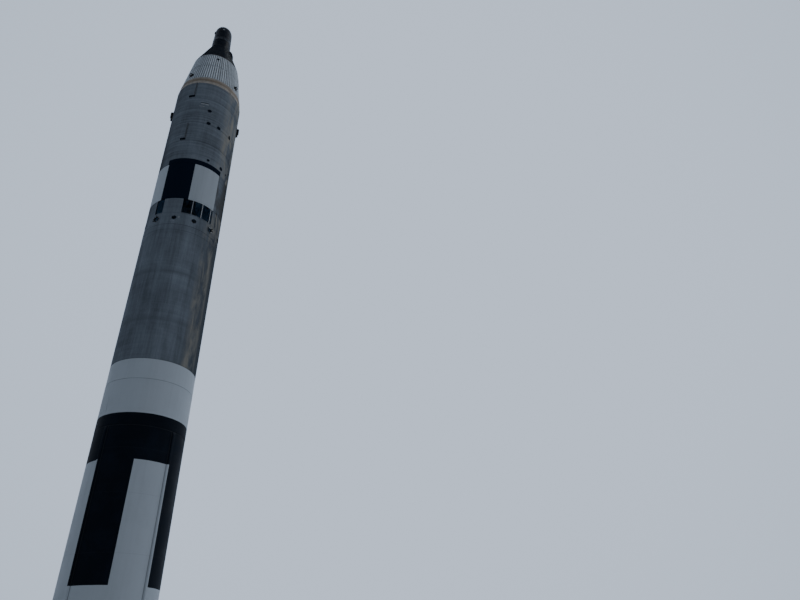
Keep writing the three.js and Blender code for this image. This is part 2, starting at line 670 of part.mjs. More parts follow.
// The nose section carries a small cover low on its left shoulder.
const NOSE_COVER_AZIMUTH = -80;
const NOSE_COVER_HEIGHT = 31130;
const noseCover = block(
  [340, -55, NOSE_COVER_HEIGHT - 60], [NOSE_SHOULDER_RADIUS + 46, 55, NOSE_COVER_HEIGHT + 60],
);
add('nose_section', 'blackPaint', turned([
  [0, THRUSTER_SECTION_TOP],
  [THRUSTER_SECTION_RADIUS - 5, THRUSTER_SECTION_TOP],
  [NOSE_SHOULDER_RADIUS, NOSE_SHOULDER],
  [NOSE_RADIUS, NOSE_TOP - GAP],
  [0, NOSE_TOP - GAP],
]).add(atAzimuth(noseCover, NOSE_COVER_AZIMUTH)));
add('nose_cap', 'blackPaint', turned([
  [0, NOSE_TOP], [NOSE_RADIUS - 3, NOSE_TOP], [375, NOSE_TOP + 70], [330, NOSE_TOP + 140],
  [200, NOSE_TOP + 235], [90, NOSE_TOP + 272], [0, TIP],
], 32));

// A sensor's fairing high on the cabin's right side, tapered to both ends along the cone.
const FAIRING_AZIMUTH = 66;
const FAIRING_WIDTH = 200;
const FAIRING_RISE = [
  // height, how far it stands out of the cone
  [29020, 4],
  [29320, 100],
  [29580, 125],
  [29720, 90],
  [29790, 20],
];
const fairingSide = new THREE.Shape();
fairingSide.moveTo(cabinRadius(FAIRING_RISE[0][0]) - 20, FAIRING_RISE[0][0]);
for (const [height, rise] of FAIRING_RISE) fairingSide.lineTo(cabinRadius(height) + rise, height);
fairingSide.lineTo(cabinRadius(29790) - 20, 29790);
fairingSide.closePath();
const fairingGeometry = new THREE.ExtrudeGeometry(
  fairingSide, { depth: FAIRING_WIDTH, bevelEnabled: false },
);
fairingGeometry.translate(0, 0, -FAIRING_WIDTH / 2).rotateX(Math.PI / 2);
const cabinSolid = turned([
  [0, ADAPTER_TOP], [CABIN_BASE_RADIUS + GAP, ADAPTER_TOP], [CABIN_NECK_RADIUS + GAP, CABIN_TOP],
  [0, CABIN_TOP],
]);
add('sensor_fairing', 'blackPaint',
  atAzimuth(solid(fairingGeometry), FAIRING_AZIMUTH).subtract(cabinSolid));

export default rocket;
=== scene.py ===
"""Dresses the solids of a two-stage crewed space rocket: skins, fittings, engines and capsule.

Metres, +Z up, with the origin on the axis in the hold-down plane. An azimuth is in degrees from
-Y towards +X, so the side that faces the camera is near 0 and the crew's hatches are at 180.
"""
import math

import bmesh
import bpy
import numpy as np
from mathutils import Matrix, Vector


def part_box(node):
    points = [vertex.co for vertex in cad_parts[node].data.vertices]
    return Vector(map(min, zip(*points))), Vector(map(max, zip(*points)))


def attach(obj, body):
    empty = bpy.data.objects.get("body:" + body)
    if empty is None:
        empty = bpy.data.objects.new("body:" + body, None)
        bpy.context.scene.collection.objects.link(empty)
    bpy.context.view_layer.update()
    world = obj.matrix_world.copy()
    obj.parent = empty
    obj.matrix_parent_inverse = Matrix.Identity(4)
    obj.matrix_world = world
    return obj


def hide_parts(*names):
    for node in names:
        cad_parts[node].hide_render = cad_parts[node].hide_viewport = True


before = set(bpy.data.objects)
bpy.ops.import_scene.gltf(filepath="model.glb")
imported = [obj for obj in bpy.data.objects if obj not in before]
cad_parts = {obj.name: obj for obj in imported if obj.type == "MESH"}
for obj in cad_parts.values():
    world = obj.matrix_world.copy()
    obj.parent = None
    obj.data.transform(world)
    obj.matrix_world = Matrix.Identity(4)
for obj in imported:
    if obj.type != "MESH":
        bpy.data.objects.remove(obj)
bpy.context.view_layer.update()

bl_info = {
    "name": "Crewed space rocket",
    "version": (1, 0, 0),
    "blender": (4, 5, 0),
    "location": "View3D > Sidebar > Rocket",
    "description": "Dresses a two-stage crewed space rocket around its solids",
    "category": "Object",
}

HULL = "vehicle"
TAU = 2 * math.pi
X, Y, Z = Vector((1, 0, 0)), Vector((0, 1, 0)), Vector((0, 0, 1))
FLIPPED = Matrix.Rotation(math.pi, 4, "X")
# Edges between faces that turn by more degrees than this stay sharp.
CREASE = 35
# How far a skin stays inside the joint that it ends at.
HAIR = 0.0004
# A rivet's radius and height, and the azimuths of its columns on the skirts
RIVET = (0.007, 0.003)
RIVET_AZIMUTHS = np.arange(3.75, 360, 7.5)
# Each side of the engine bay and of the upper stage, with the sign of its X.
SIDES = (("left", -1), ("right", 1))
# Each hatch, with the sign of its offset from azimuth 180.
HATCHES = (("right", -1), ("left", 1))


# Heights and radii

def bottom(node):
    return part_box(node)[0].z


def top(node):
    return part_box(node)[1].z


BODY_RADIUS = (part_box("fuel_tank")[1].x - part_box("fuel_tank")[0].x) / 2
SECTORS = (3.20, 6.97, 8.56)
WHITE_BAND_TOP = 10.59
PAINT_BAND = (18.07, 20.12, 20.38)
RACEWAYS = (45, 135, 225, 315)

# Windows and ports through the wall under the stage joint
VENT_FIRST = -6.5
VENT_PITCH = 15.786
VENT_WIDTH = 14.5
VENT_HEIGHTS = (17.33, 18.07)
OPEN_VENTS = (*range(4), *range(6, 18), 20)
PORT_AZIMUTHS = range(15, 360, 30)
PORT_HEIGHT = 17.03
PORT_RADIUS = 0.100

# Main engine
CHAMBER_OFFSET = 0.75
PIVOT = 0.33
THROAT = -0.43
BELL_LENGTH = 1.09
BELL_HOOPS = (0.28, 0.52, 0.77)
PUMP_OFFSET = 0.43

# Capsule
FORWARD_TOP = bottom("mating_ring")
ADAPTER_BASE = bottom("equipment_section")
CABIN_BASE = bottom("heat_shield")
CABIN_LOW = bottom("cabin_shell")
CABIN_NECK = bottom("thruster_section")
HATCH_LOW = bottom("hatch_left")
HATCH_HIGH = top("hatch_left")
CABIN_WALL = 0.064
HATCH_EDGES = (2.5, 46.0)
HINGE_AZIMUTH = 47.3
HINGE_STANDOFF = 0.026
KNUCKLE_RADIUS = 0.018
KNUCKLE_PITCH = 0.33
LATCH_AZIMUTH = 10
WINDOW_AZIMUTH = 22.0
WINDOW_HEIGHT = 29.12
ADAPTER_FITTINGS = (-48, 52, 132, 228)
FITTING_HEIGHT = 26.29
ADAPTER_BANDS = (25.89, 27.045, 28.018)
CABIN_BANDS = (28.88, 29.48)
SENSOR_AZIMUTH = 66
SEAT_OFFSET = 0.27

# Floor and camera, with its pitch, roll and heading in degrees and its lens in millimetres
FLOOR_LEVEL = -1.56
CAMERA_PLACE = (0.958, -22.848, 1.0)
CAMERA_ANGLES = (31.2612, -1.5686, 22.0)
CAMERA_LENS = 26.975

# The wall's outline, as (height, radius) pairs.
OUTLINE = (
    (-2.0, BODY_RADIUS), (FORWARD_TOP, BODY_RADIUS), (ADAPTER_BASE, 1.465),
    (CABIN_BASE, 1.143), (CABIN_NECK, 0.490), (CABIN_NECK + 0.001, 0.485),
    (30.25, 0.480), (31.25, 0.440), (31.40, 0.405), (31.68, 0.05),
)


def wall_radius(height):
    return float(np.interp(height, [h for h, _ in OUTLINE], [r for _, r in OUTLINE]))


def outward(azimuth):
    a = math.radians(azimuth)
    return Vector((math.sin(a), -math.cos(a), 0))


def axes(x, y, z, origin=(0, 0, 0)):
    """A matrix from its three axes and its origin."""
    made = Matrix((x, y, z)).transposed().to_4x4()
    made.translation = origin
    return made


def shift(x, y, z):
    return Matrix.Translation((x, y, z))


def wall_frame(azimuth, height, proud=0.0, radius=None):
    """A matrix on the wall: X along it, Y up it and Z outward."""
    lean = 0.0
    if radius is None:
        radius = wall_radius(height)
        lean = math.atan2(wall_radius(height - 0.01) - wall_radius(height + 0.01), 0.02)
    out, across = outward(azimuth), outward(azimuth + 90)
    normal = out * math.cos(lean) + Z * math.sin(lean)
    point = out * radius + Z * height + normal * proud
    return axes(across, normal.cross(across), normal, point)


def side_frame(azimuth, height, across=0.0):
    """A matrix for an outline seen from the side: X outward from the wall and Y up."""
    out, side = outward(azimuth), outward(azimuth + 90)
    return axes(out, Z, -side, out * BODY_RADIUS + side * across + Z * height)


# Meshes

class Build:
    """The points and faces of one piece, gathered from simpler forms."""

    def __init__(self):
        self.points = []
        self.faces = []
        self.count = 0

    def add(self, points, faces, place=None):
        points = np.asarray(points, dtype=float)
        if place is not None:
            points = (np.c_[points, np.ones(len(points))] @ np.array(place).T)[:, :3]
        self.points.append(points)
        self.faces.extend([tuple(int(i) + self.count for i in face) for face in faces])
        self.count += len(points)
        return self

    def copies(self, points, faces, frames):
        """One form repeated at each frame."""
        for frame_ in frames:
            self.add(points, faces, frame_)
        return self

    def revolve(self, profile, count, ripple=None, arc=(0.0, 360.0), place=None):
        """Turns (radius, height) pairs about Z. ripple(angles, radius, height) adds to the radius.

        Over part of a turn the profile ends where it starts, and both ends are closed.
        """
        profile = np.asarray(profile, dtype=float)
        full = arc[1] - arc[0] >= 360
        angles = np.radians(np.linspace(arc[0], arc[1], count + (0 if full else 1),
                                        endpoint=not full))
        rings = []
        for radius, height in profile:
            r = np.full(len(angles), radius)
            if ripple is not None and radius > 1e-6:
                r = r + ripple(angles, radius, height)
            rings.append(np.c_[r * np.sin(angles), -r * np.cos(angles),
                               np.full(len(angles), height)])
        n = len(angles)
        faces = []
        for k in range(len(profile) - 1):
            low, high = profile[k][0] < 1e-6, profile[k + 1][0] < 1e-6
            if low and high:
                continue
            for i in range(n if full else n - 1):
                j = (i + 1) % n
                a, b, c, d = k * n + i, k * n + j, (k + 1) * n + j, (k + 1) * n + i
                if low:
                    faces.append((k * n, c, d))
                elif high:
                    faces.append((a, b, (k + 1) * n))
                else:
                    faces.append((a, b, c, d))
        if not full:
            loop = range(len(profile) - 1)
            faces.append(tuple(k * n for k in loop))
            faces.append(tuple(k * n + n - 1 for k in reversed(loop)))
        return self.add(np.concatenate(rings), faces, place)

    def box(self, low, high, place=None):
        """A block between two corners."""
        outline = [(low[0], low[1]), (high[0], low[1]), (high[0], high[1]), (low[0], high[1])]
        return self.prism(outline, low[2], high[2], place)

    def prism(self, outline, low, high, place=None):
        """Carries an outline in the XY plane from one Z to another."""
        n = len(outline)
        points = [(x, y, z) for z in (low, high) for x, y in outline]
        faces = [tuple(range(n - 1, -1, -1)), tuple(range(n, 2 * n))]
        faces += [(i, (i + 1) % n, n + (i + 1) % n, n + i) for i in range(n)]
        return self.add(points, faces, place)

    def drilled(self, outer, inner, low, high, place=None):
        """A plate between two outlines with as many points each."""
        n = len(outer)
        points = [(x, y, z) for z in (low, high) for line in (outer, inner) for x, y in line]
        faces = []
        for i in range(n):
            j = (i + 1) % n
            faces += [(i, n + i, n + j, j), (2 * n + i, 2 * n + j, 3 * n + j, 3 * n + i),
                      (i, j, 2 * n + j, 2 * n + i), (n + i, 3 * n + i, 3 * n + j, n + j)]
        return self.add(points, faces, place)

    def sweep(self, path, section, closed=False):
        """Carries a closed section, in the (side, up) plane, along a list of points."""
        path = [Vector(p) for p in path]
        n = len(section)
        points = []
        previous = None
        for i, p in enumerate(path):
            ahead = path[(i + 1) % len(path)] if closed or i + 1 < len(path) else p
            behind = path[i - 1] if closed or i > 0 else p
            run = (ahead - behind).normalized()
            if previous is None:
                side = run.cross(Z)
                if side.length < 1e-3:
                    side = run.cross(Y)
            else:
                side = previous - run * previous.dot(run)
            side.normalize()
            previous = side
            rise = side.cross(run)
            points += [p + side * s + rise * u for s, u in section]
        faces = []
        for k in range(len(path) if closed else len(path) - 1):
            m = (k + 1) % len(path)
            for i in range(n):
                j = (i + 1) % n
                faces.append((k * n + i, k * n + j, m * n + j, m * n + i))
        if not closed:
            faces.append(tuple(range(n - 1, -1, -1)))
            faces.append(tuple((len(path) - 1) * n + i for i in range(n)))
        return self.add([tuple(p) for p in points], faces)

    def loft(self, sections):
        """Joins sections with as many points each into a closed form."""
        n = len(sections[0])
        faces = []
        for k in range(len(sections) - 1):
            for j in range(n):
                m = (j + 1) % n
                faces.append((k * n + j, k * n + m, (k + 1) * n + m, (k + 1) * n + j))
        faces.append(tuple(range(n - 1, -1, -1)))
        faces.append(tuple((len(sections) - 1) * n + j for j in range(n)))
        return self.add([tuple(p) for section in sections for p in section], faces)

    def form(self, name, look, crease=CREASE, bevel=0.0):
        """Makes the object, with the finish of that name."""
        mesh = bpy.data.meshes.new(name)
        mesh.from_pydata(np.concatenate(self.points).tolist(), [], self.faces)
        work = bmesh.new()
        work.from_mesh(mesh)
        bmesh.ops.remove_doubles(work, verts=work.verts, dist=1e-6)
        loose = [v for v in work.verts if not v.link_faces]
        bmesh.ops.delete(work, geom=loose, context="VERTS")
        bmesh.ops.recalc_face_normals(work, faces=work.faces)
        work.to_mesh(mesh)
        work.free()
        for polygon in mesh.polygons:
            polygon.use_smooth = True
        mesh.set_sharp_from_angle(angle=math.radians(crease))
        obj = bpy.data.objects.new(name, mesh)
        bpy.context.scene.collection.objects.link(obj)
        if bevel:
            edge = obj.modifiers.new("edge", "BEVEL")
            edge.width = bevel
            edge.segments = 2
            edge.limit_method = "ANGLE"
            edge.angle_limit = math.radians(crease)
            edge.harden_normals = True
        mesh.materials.append(finish(look))
        return obj

    def piece(self, name, look, body=HULL, stands_for=(), slot=None, **shape):
        """Makes the object and lets it ride on a body."""
        obj = self.form(name, look, **shape)
        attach(obj, body)
        if stands_for:
            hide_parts(*stands_for)
        return obj


def slot_index(mesh, material):
    if mesh.materials.find(material.name) < 0:
        mesh.materials.append(material)
    return mesh.materials.find(material.name)


def cut(obj, cutter):
    """Cuts a piece with another form, whose finish lines the cut."""
    slot_index(obj.data, cutter.data.materials[0])
    tool = obj.modifiers.new("cut", "BOOLEAN")
    tool.object = cutter
    tool.operation = "DIFFERENCE"
    tool.solver = "EXACT"
    tool.material_mode = "TRANSFER"
    graph = bpy.context.evaluated_depsgraph_get()
    done = bpy.data.meshes.new_from_object(obj.evaluated_get(graph))
    obj.modifiers.remove(tool)
    obj.data = done
    bpy.data.objects.remove(cutter, do_unlink=True)
    done.set_sharp_from_angle(angle=math.radians(CREASE))


def refinish(obj, look, chosen):
    """Gives a second finish to the faces whose centres are chosen."""
    index = slot_index(obj.data, finish(look))
    for polygon in obj.data.polygons:
        if chosen(*polygon.center):
            polygon.material_index = index


def inside_wall(depth):
    """Chooses the points that lie deeper than that inside the wall."""
    return lambda x, y, z: math.hypot(x, y) < wall_radius(z) - depth


def circle(radius, sides):
    return [(radius * math.cos(TAU * i / sides), radius * math.sin(TAU * i / sides))
            for i in range(sides)]


def dome_form(radius, height):
    """A low round head on its own base, Z up."""
    sides = 6
    points = [(x, y, 0) for x, y in circle(radius, sides)]
    points += [(x, y, height) for x, y in circle(0.62 * radius, sides)]
    faces = [(i, (i + 1) % sides, sides + (i + 1) % sides, sides + i) for i in range(sides)]
    faces.append(tuple(range(sides, 2 * sides)))
    faces.append(tuple(range(sides - 1, -1, -1)))
    return points, faces


def bolt_form(radius, height):
    """A hexagonal head on a washer."""
    build = Build()
    build.prism(circle(radius * 1.25, 14), 0, height * 0.25)
    build.prism(circle(radius, 6), height * 0.25, height)
    return np.concatenate(build.points), build.faces


def ring_form(inner, outer, height, sides=32):
    """A raised lip round a hole."""
    edge = 0.2 * (outer - inner)
    build = Build().revolve([
        (inner, -0.01), (inner, height * 0.8), (inner + edge, height), (outer - edge, height),
        (outer, height * 0.6), (outer, -0.01), (inner, -0.01)], sides)
    return np.concatenate(build.points), build.faces


def square_ring(inner, outer, low, high):
    """The closed outline of a ring with square edges."""
    return [(inner, low), (outer, low), (outer, high), (inner, high), (inner, low)]


def bolt_circle(build, place, radius, count, size, height):
    """Bolts round the Z axis of a frame."""
    build.copies(*bolt_form(size, height), [
        place @ shift(x, y, 0) for x, y in circle(radius, count)])


def rivet_columns(build, azimuths, low, high, pitch):
    heights = np.linspace(low, high, max(2, int(round((high - low) / pitch)) + 1))
    build.copies(*dome_form(*RIVET), [wall_frame(a, h) for a in azimuths for h in heights])


def rivet_rings(build, heights, spacing, size=RIVET):
    for h in heights:
        count = int(TAU * wall_radius(h) / spacing)
        build.copies(*dome_form(*size), [wall_frame(360 * i / count, h) for i in range(count)])


def grid_faces(start, across, up, flip):
    """The faces over a grid of points that are listed row by row."""
    faces = []
    for j in range(up - 1):
        for i in range(across - 1):
            q = start + across * j + i
            face = (q, q + 1, q + across + 1, q + across)
            faces.append(face[::-1] if flip else face)
    return faces


def grid_rim(start, across, up):
    """The points round such a grid, in turn."""
    rim = [start + i for i in range(across)]
    rim += [start + across * j + across - 1 for j in range(1, up)]
    rim += [start + across * (up - 1) + i for i in range(across - 2, -1, -1)]
    return rim + [start + across * j for j in range(up - 2, 0, -1)]


def wall_plate(build, azimuth, height, width, tall, thick, corner=0.02):
    """A plate that follows the wall, with bevelled edges."""
    half = math.degrees(width / 2 / wall_radius(height))
    us = np.linspace(-1, 1, max(3, int(width / 0.06)) + 1)
    vs = np.linspace(-1, 1, max(2, int(tall / 0.25)) + 1)
    grid = (len(us), len(vs))
    levels = [(0.0, -0.004), (0.0, thick * 0.5), (corner * 0.4, thick), (corner, thick)]
    points, rims = [], []
    for inset, proud in levels:
        rims.append(grid_rim(len(points), *grid))
        for v in vs:
            for u in us:
                h = height + v * (tall / 2 - inset)
                a = azimuth + u * half * (1 - 2 * inset / width)
                points.append(tuple(wall_frame(a, h, proud).translation))
    faces = []
    for lower, upper in zip(rims[:-1], rims[1:]):
        for i in range(len(lower)):
            j = (i + 1) % len(lower)
            faces.append((lower[i], lower[j], upper[j], upper[i]))
    faces += grid_faces(rims[0][0], *grid, True) + grid_faces(rims[-1][0], *grid, False)
    build.add(points, faces)


def bead(build, azimuth, low, high, width, rise):
    """A raised rib up the wall with rounded ends."""
    across = (-1.0, -0.55, 0.0, 0.55, 1.0)
    sections = []
    for share, fade in ((0.0, 0.15), (0.06, 0.8), (0.12, 1.0), (0.88, 1.0), (0.94, 0.8),
                        (1.0, 0.15)):
        at = wall_frame(azimuth, low + (high - low) * share)
        sections.append([at @ Vector((0.5 * width * s, 0, rise * fade * (1 - s * s) - 0.003))
                         for s in across])
    build.loft(sections)


def round_path(radius, height, count, centre):
    return [(centre[0] + radius * math.sin(TAU * i / count),
             centre[1] - radius * math.cos(TAU * i / count), height) for i in range(count)]


def pin_lug(build, place, side, far, near):
    """A drilled plate and the rim of its bore, on one side of a gimbal whose pin lies along Z.

    The plate reaches to far along Y, and its round end to near on the other side of the pin.
    """
    half_width, sides = 0.060, 28
    outer, bore = [], circle(0.0206, sides)
    for c, s in circle(1, sides):
        if s > 0:
            reach = min(half_width / max(abs(c), 1e-6), far / max(s, 1e-6))
        else:
            reach = 1 / math.hypot(c / half_width, s / near)
        outer.append((c * reach, s * reach))
    build.drilled(outer, bore, *sorted((0.070 * side, 0.100 * side)), place)
    build.drilled(circle(0.034, sides), bore, *sorted((0.100 * side, 0.104 * side)), place)


# Finishes

class Wire:
    """A number that varies over a surface. Sums and products of it add their Math nodes."""

    def __init__(self, owner, socket):
        self.owner = owner
        self.socket = socket

    def math(self, operation, *others):
        node = self.owner.node("ShaderNodeMath", {"operation": operation},
                               dict(enumerate((self, *others))))
        return Wire(self.owner, node.outputs[0])

    def __add__(self, other):
        return self.math("ADD", other)

    def __sub__(self, other):
        return self.math("SUBTRACT", other)

    def __mul__(self, other):
        return self.math("MULTIPLY", other)

    def __truediv__(self, other):
        return self.math("DIVIDE", other)

    def __rsub__(self, other):
        return (self * -1) + other

    def __gt__(self, other):
        return self.math("GREATER_THAN", other)

    def __lt__(self, other):
        return self.math("LESS_THAN", other)

    __radd__ = __add__
    __rmul__ = __mul__

    def within(self, low, high):
        """1 between two values and 0 outside them."""
        return (self > low) * (self < high)

    def near(self, value, width):
        """1 at a value, falling to 0 at a width from it."""
        return (1 - (self - value).math("ABSOLUTE") / width).math("MAXIMUM", 0)

    def near_any(self, values, width):
        """The same at any of several values."""
        total = self.near(values[0], width)
        for value in values[1:]:
            total = total + self.near(value, width)
        return total

    def spread(self, low, high, to_low=0.0, to_high=1.0, smooth=False):
        settings = {"interpolation_type": "SMOOTHSTEP" if smooth else "LINEAR"}
        node = self.owner.node("ShaderNodeMapRange", settings, {
            "Value": self, "From Min": low, "From Max": high, "To Min": to_low,
            "To Max": to_high})
        return Wire(self.owner, node.outputs[0])


class Nodes:
    """One tree of nodes. node() makes any of them, and blend() mixes colours."""

    def __init__(self, tree):
        self.tree = tree
        tree.nodes.clear()

    def node(self, kind, settings=None, sockets=None):
        made = self.tree.nodes.new(kind)
        for key, value in (settings or {}).items():
            setattr(made, key, value)
        for key, value in (sockets or {}).items():
            socket = made.inputs[key]
            if isinstance(value, Wire):
                value = value.socket
            if isinstance(value, bpy.types.NodeSocket):
                self.tree.links.new(value, socket)
            elif isinstance(value, tuple) and socket.type == "RGBA" and len(value) == 3:
                socket.default_value = (*value, 1)
            else:
                socket.default_value = value
        return made

    def blend(self, first, second, share):
        made = self.node("ShaderNodeMix", {"data_type": "RGBA"}, {0: share, 6: first, 7: second})
        return made.outputs[2]


class Finish(Nodes):
    """A surface finish: a material with one shader, whose sockets feed() links."""

    def __init__(self, name, **constants):
        self.material = bpy.data.materials.new(name)
        self.material.use_nodes = True
        super().__init__(self.material.node_tree)
        sockets = {key.replace("_", " "): value for key, value in constants.items()}
        self.shader = self.node("ShaderNodeBsdfPrincipled", {}, sockets)
        self.node("ShaderNodeOutputMaterial", {}, {"Surface": self.shader.outputs[0]})
        self.place = self.node("ShaderNodeTexCoord").outputs["Object"]
        parts = self.node("ShaderNodeSeparateXYZ", {}, {0: self.place})
        self.x, self.y, self.z = (Wire(self, s) for s in parts.outputs)

    def azimuth(self):
        """Degrees round the axis from -Y towards +X."""
        return self.x.math("ARCTAN2", self.y * -1) * math.degrees(1)

    def noise(self, scale, detail=4.0, roughness=0.55, stretch=None, distortion=0.0):
        place = self.place
        if stretch:
            place = self.node("ShaderNodeVectorMath", {"operation": "MULTIPLY"},
                              {0: place, 1: stretch}).outputs[0]
        sockets = {"Vector": place, "Scale": scale, "Detail": detail, "Roughness": roughness,
                   "Distortion": distortion}
        return Wire(self, self.node("ShaderNodeTexNoise", {}, sockets).outputs[0])

    def bump(self, height, strength, distance):
        made = self.node("ShaderNodeBump", {}, {"Strength": strength, "Distance": distance,
                                                "Height": height})
        self.feed("Normal", made.outputs[0])

    def roughen(self, cloud, low, high):
        self.feed("Roughness", cloud.spread(0.3, 0.7, low, high))

    def feed(self, socket, value):
        if isinstance(value, Wire):
            value = value.socket
        self.tree.links.new(value, self.shader.inputs[socket])


def scaled(colour, *factors):
    """A colour times one number, or times one for each channel."""
    factors = factors * 3 if len(factors) == 1 else factors
    return tuple(c * f for c, f in zip(colour, factors))


def streaks(finish):
    """Long marks down the wall, as rain leaves them."""
    fine = finish.noise(9.0, 5.0, 0.6, stretch=(1, 1, 0.05))
    broad = finish.noise(2.2, 4.0, 0.5, stretch=(1, 1, 0.09))
    return fine * 0.5 + broad * 0.5


def blotches(finish, scale=1.3):
    return finish.noise(scale, 6.0, 0.62, distortion=0.4)


def raceway_edge_shade(finish, azimuth):
    """Thin lines of painted shade along both edges of the raceways, up to their tops, where the
    raised covers meet the wall.
    """
    half = math.degrees(0.0825 / BODY_RADIUS)
    turn = (azimuth + 360).math("FLOORED_MODULO", 90)
    edge = (turn - 45).math("ABSOLUTE").near(half, 0.5)
    return edge * (finish.z < 8.13)


def painted_wall(name, white, black):
    """White paint with black sectors and a black ring, weathered."""
    finish = Finish(name, Specular_IOR_Level=0.07)
    wander = finish.noise(2.5, 3.0, 0.5) - 0.5
    azimuth = finish.azimuth()
    turn = ((azimuth + wander * 0.3) / 45).math("FLOORED_MODULO", 2)
    height = finish.z + wander * 0.012
    sectors = (turn > 1) * height.within(SECTORS[0], SECTORS[1] + 0.01)
    mask = sectors.math("MAXIMUM", height.within(SECTORS[1], SECTORS[2]))
    fall, spots = streaks(finish), blotches(finish)
    dirt = fall.spread(0.45, 0.72) * 0.16 + spots.spread(0.48, 0.78) * 0.14
    seams = finish.z.near_any((1.3, 8.12, 9.82, WHITE_BAND_TOP), 0.012)
    welds = finish.z.near_any((4.1, 5.9, 7.35), 0.02)
    # lines: painted shade along the raceways' edges; the seams and welds below are dark joints.
    lines = raceway_edge_shade(finish, azimuth)
    chalk = finish.blend(white, scaled(white, 0.62, 0.62, 0.60), dirt)
    faded = finish.blend(black, scaled(black, 1.7), spots.spread(0.45, 0.75))
    colour = finish.blend(chalk, faded, mask)
    marks = seams * 0.55 + welds * 0.08 + lines * 0.5
    colour = finish.blend(colour, scaled(white, 0.12), marks.math("MINIMUM", 1))
    finish.feed("Base Color", colour)
    finish.feed("Roughness", spots.spread(0.3, 0.7, 0.45, 0.62) + mask * 0.05)
    finish.bump(finish.noise(1.1, 2.0, 0.4, stretch=(1, 1, 0.5)) * 0.6 - seams * 0.5
                + welds * 0.2 + fall * 0.05, 0.35, 0.02)
    return finish.material


def metal_wall(name, metal, white, black):
    """Dull bare metal with weld lines, rain marks, painted shade down its sides, warm stains and
    the upper painted band.
    """
    finish = Finish(name, Specular_IOR_Level=0.005)
    azimuth = finish.azimuth()
    half_turn = (azimuth + 360).math("FLOORED_MODULO", 180)
    low, high, strip_top = PAINT_BAND
    band = finish.z.within(low, high)
    is_white = (half_turn.within(0, 45) + half_turn.within(90, 135)) * band
    strip = ((half_turn < 46.5) + (half_turn > 133.5)) * finish.z.within(high - 0.001, strip_top)
    is_black = ((half_turn > 135) * band).math("MAXIMUM", strip)

    fall, spots = streaks(finish), blotches(finish, 0.9)
    hoops = finish.noise(4.0, 4.0, 0.6, stretch=(0.12, 0.12, 3.0))
    grain = finish.noise(34.0, 5.0, 0.7, stretch=(1, 1, 0.15))
    upper = finish.z.spread(17.0, 18.5)
    tone = (fall * (0.52 - upper * 0.26) + hoops * (0.10 + upper * 0.26) + spots * 0.26
            + grain * 0.12)
    bare = finish.blend(scaled(metal, 0.62), scaled(metal, 1.40), tone.spread(0.38, 0.63))
    smudges = finish.z.near_any((12.25, 14.4), 0.17) * spots.spread(0.3, 0.6)
    bare = finish.blend(bare, scaled(metal, 0.55), smudges * 0.55)
    # Painted shade darkens one side below and two above, less towards the top. Stains lie over it.
    wide = ((azimuth - 80) * math.radians(1)).math("COSINE").spread(0.55, 1.08)
    narrow = ((azimuth - 88) * math.radians(2)).math("COSINE").spread(0.2, 0.85)
    side_shade = wide + (narrow * finish.z.spread(20.4, 23.5, 1.0, 0.35) - wide) * upper
    bare = finish.blend(bare, scaled(metal, 0.25), side_shade)
    middle = finish.z.spread(16.4, 17.6, 50.0, 60.0)
    edge = finish.z.spread(16.4, 17.6, 0.80, 0.45)
    sides = ((azimuth - middle) * math.radians(2)).math("COSINE").spread(edge, 0.97, smooth=True)
    stain = finish.noise(1.6, 6.0, 0.66, stretch=(1.6, 1.6, 0.45), distortion=0.5)
    stain = sides * stain.spread(0.40, 0.62) * finish.z.spread(16.0, 17.5, 0.75, 1.0) * 0.85
    rusty = finish.blend(scaled(metal, 1.85, 1.50, 1.10), scaled(metal, 0.46, 0.38, 0.30), band)
    bare = finish.blend(bare, rusty, stain)
    welds = finish.z.near_any((10.60, 16.42, 16.70, 17.30, 21.51, 22.68, 24.30), 0.022)
    columns = (half_turn.math("FLOORED_MODULO", 45) - 22.5).math("ABSOLUTE").near(22.4, 0.35)
    bare = finish.blend(bare, scaled(metal, 0.35), welds * 0.40 + columns * 0.18)
    tired = finish.blend(scaled(white, 0.90), scaled(white, 0.64), fall.spread(0.42, 0.7) * 0.4)
    tired = finish.blend(tired, scaled(white, 1.12), half_turn.within(90, 135) * 0.8)
    # The upper band's black is lighter and bluer, partly painted sky reflection.
    colour = finish.blend(finish.blend(bare, tired, is_white), scaled(black, 1.5, 1.7, 1.9),
                          is_black)
    paint = is_white.math("MAXIMUM", is_black)
    finish.feed("Base Color", colour)
    finish.feed("Metallic", (1 - paint) * 0.05)
    finish.feed("Roughness", (1 - paint) * spots.spread(0.3, 0.7, 0.66, 0.84) + paint * 0.6)
    finish.bump(finish.noise(1.6, 3.0, 0.5, stretch=(1, 1, 0.35)) * 0.7 + grain * 0.06
                + welds * 0.35 + columns * 0.2, 0.4, 0.02)
    return finish.material


def ribbed_skin(name, white, ribs):
    """White ribs with painted shade in the grooves between them, no two quite alike."""
    finish = Finish(name, Specular_IOR_Level=0.2)
    azimuth = finish.azimuth()
    groove = (azimuth * (ribs * math.radians(1))).math("COSINE").spread(0.25, -0.45)
    number = (azimuth * (ribs / 360) + 0.5).math("FLOOR")
    chance = Wire(finish, finish.node("ShaderNodeTexWhiteNoise", {"noise_dimensions": "1D"},
                                      {"W": number}).outputs[0])
    fall, cloud = streaks(finish), blotches(finish, 2.0)
    light = finish.blend(scaled(white, 1.40), scaled(white, 1.02), chance)
    light = finish.blend(light, scaled(white, 0.62), fall.spread(0.45, 0.7) * 0.35)
    # The grooves' dark colour is painted shade, deeper in some patches than in others.
    dark = scaled(white, 0.36)
    colour = finish.blend(light, dark, groove * cloud.spread(0.25, 0.6, 0.75, 1.0))
    seam = finish.z.near(27.50, 0.014) * azimuth.within(8, 68)
    colour = finish.blend(colour, scaled(white, 0.22), seam * 0.8)
    finish.feed("Base Color", colour)
    finish.roughen(cloud, 0.5, 0.68)
    finish.bump(cloud * 0.5 + fall * 0.2, 0.25, 0.01)
    return finish.material


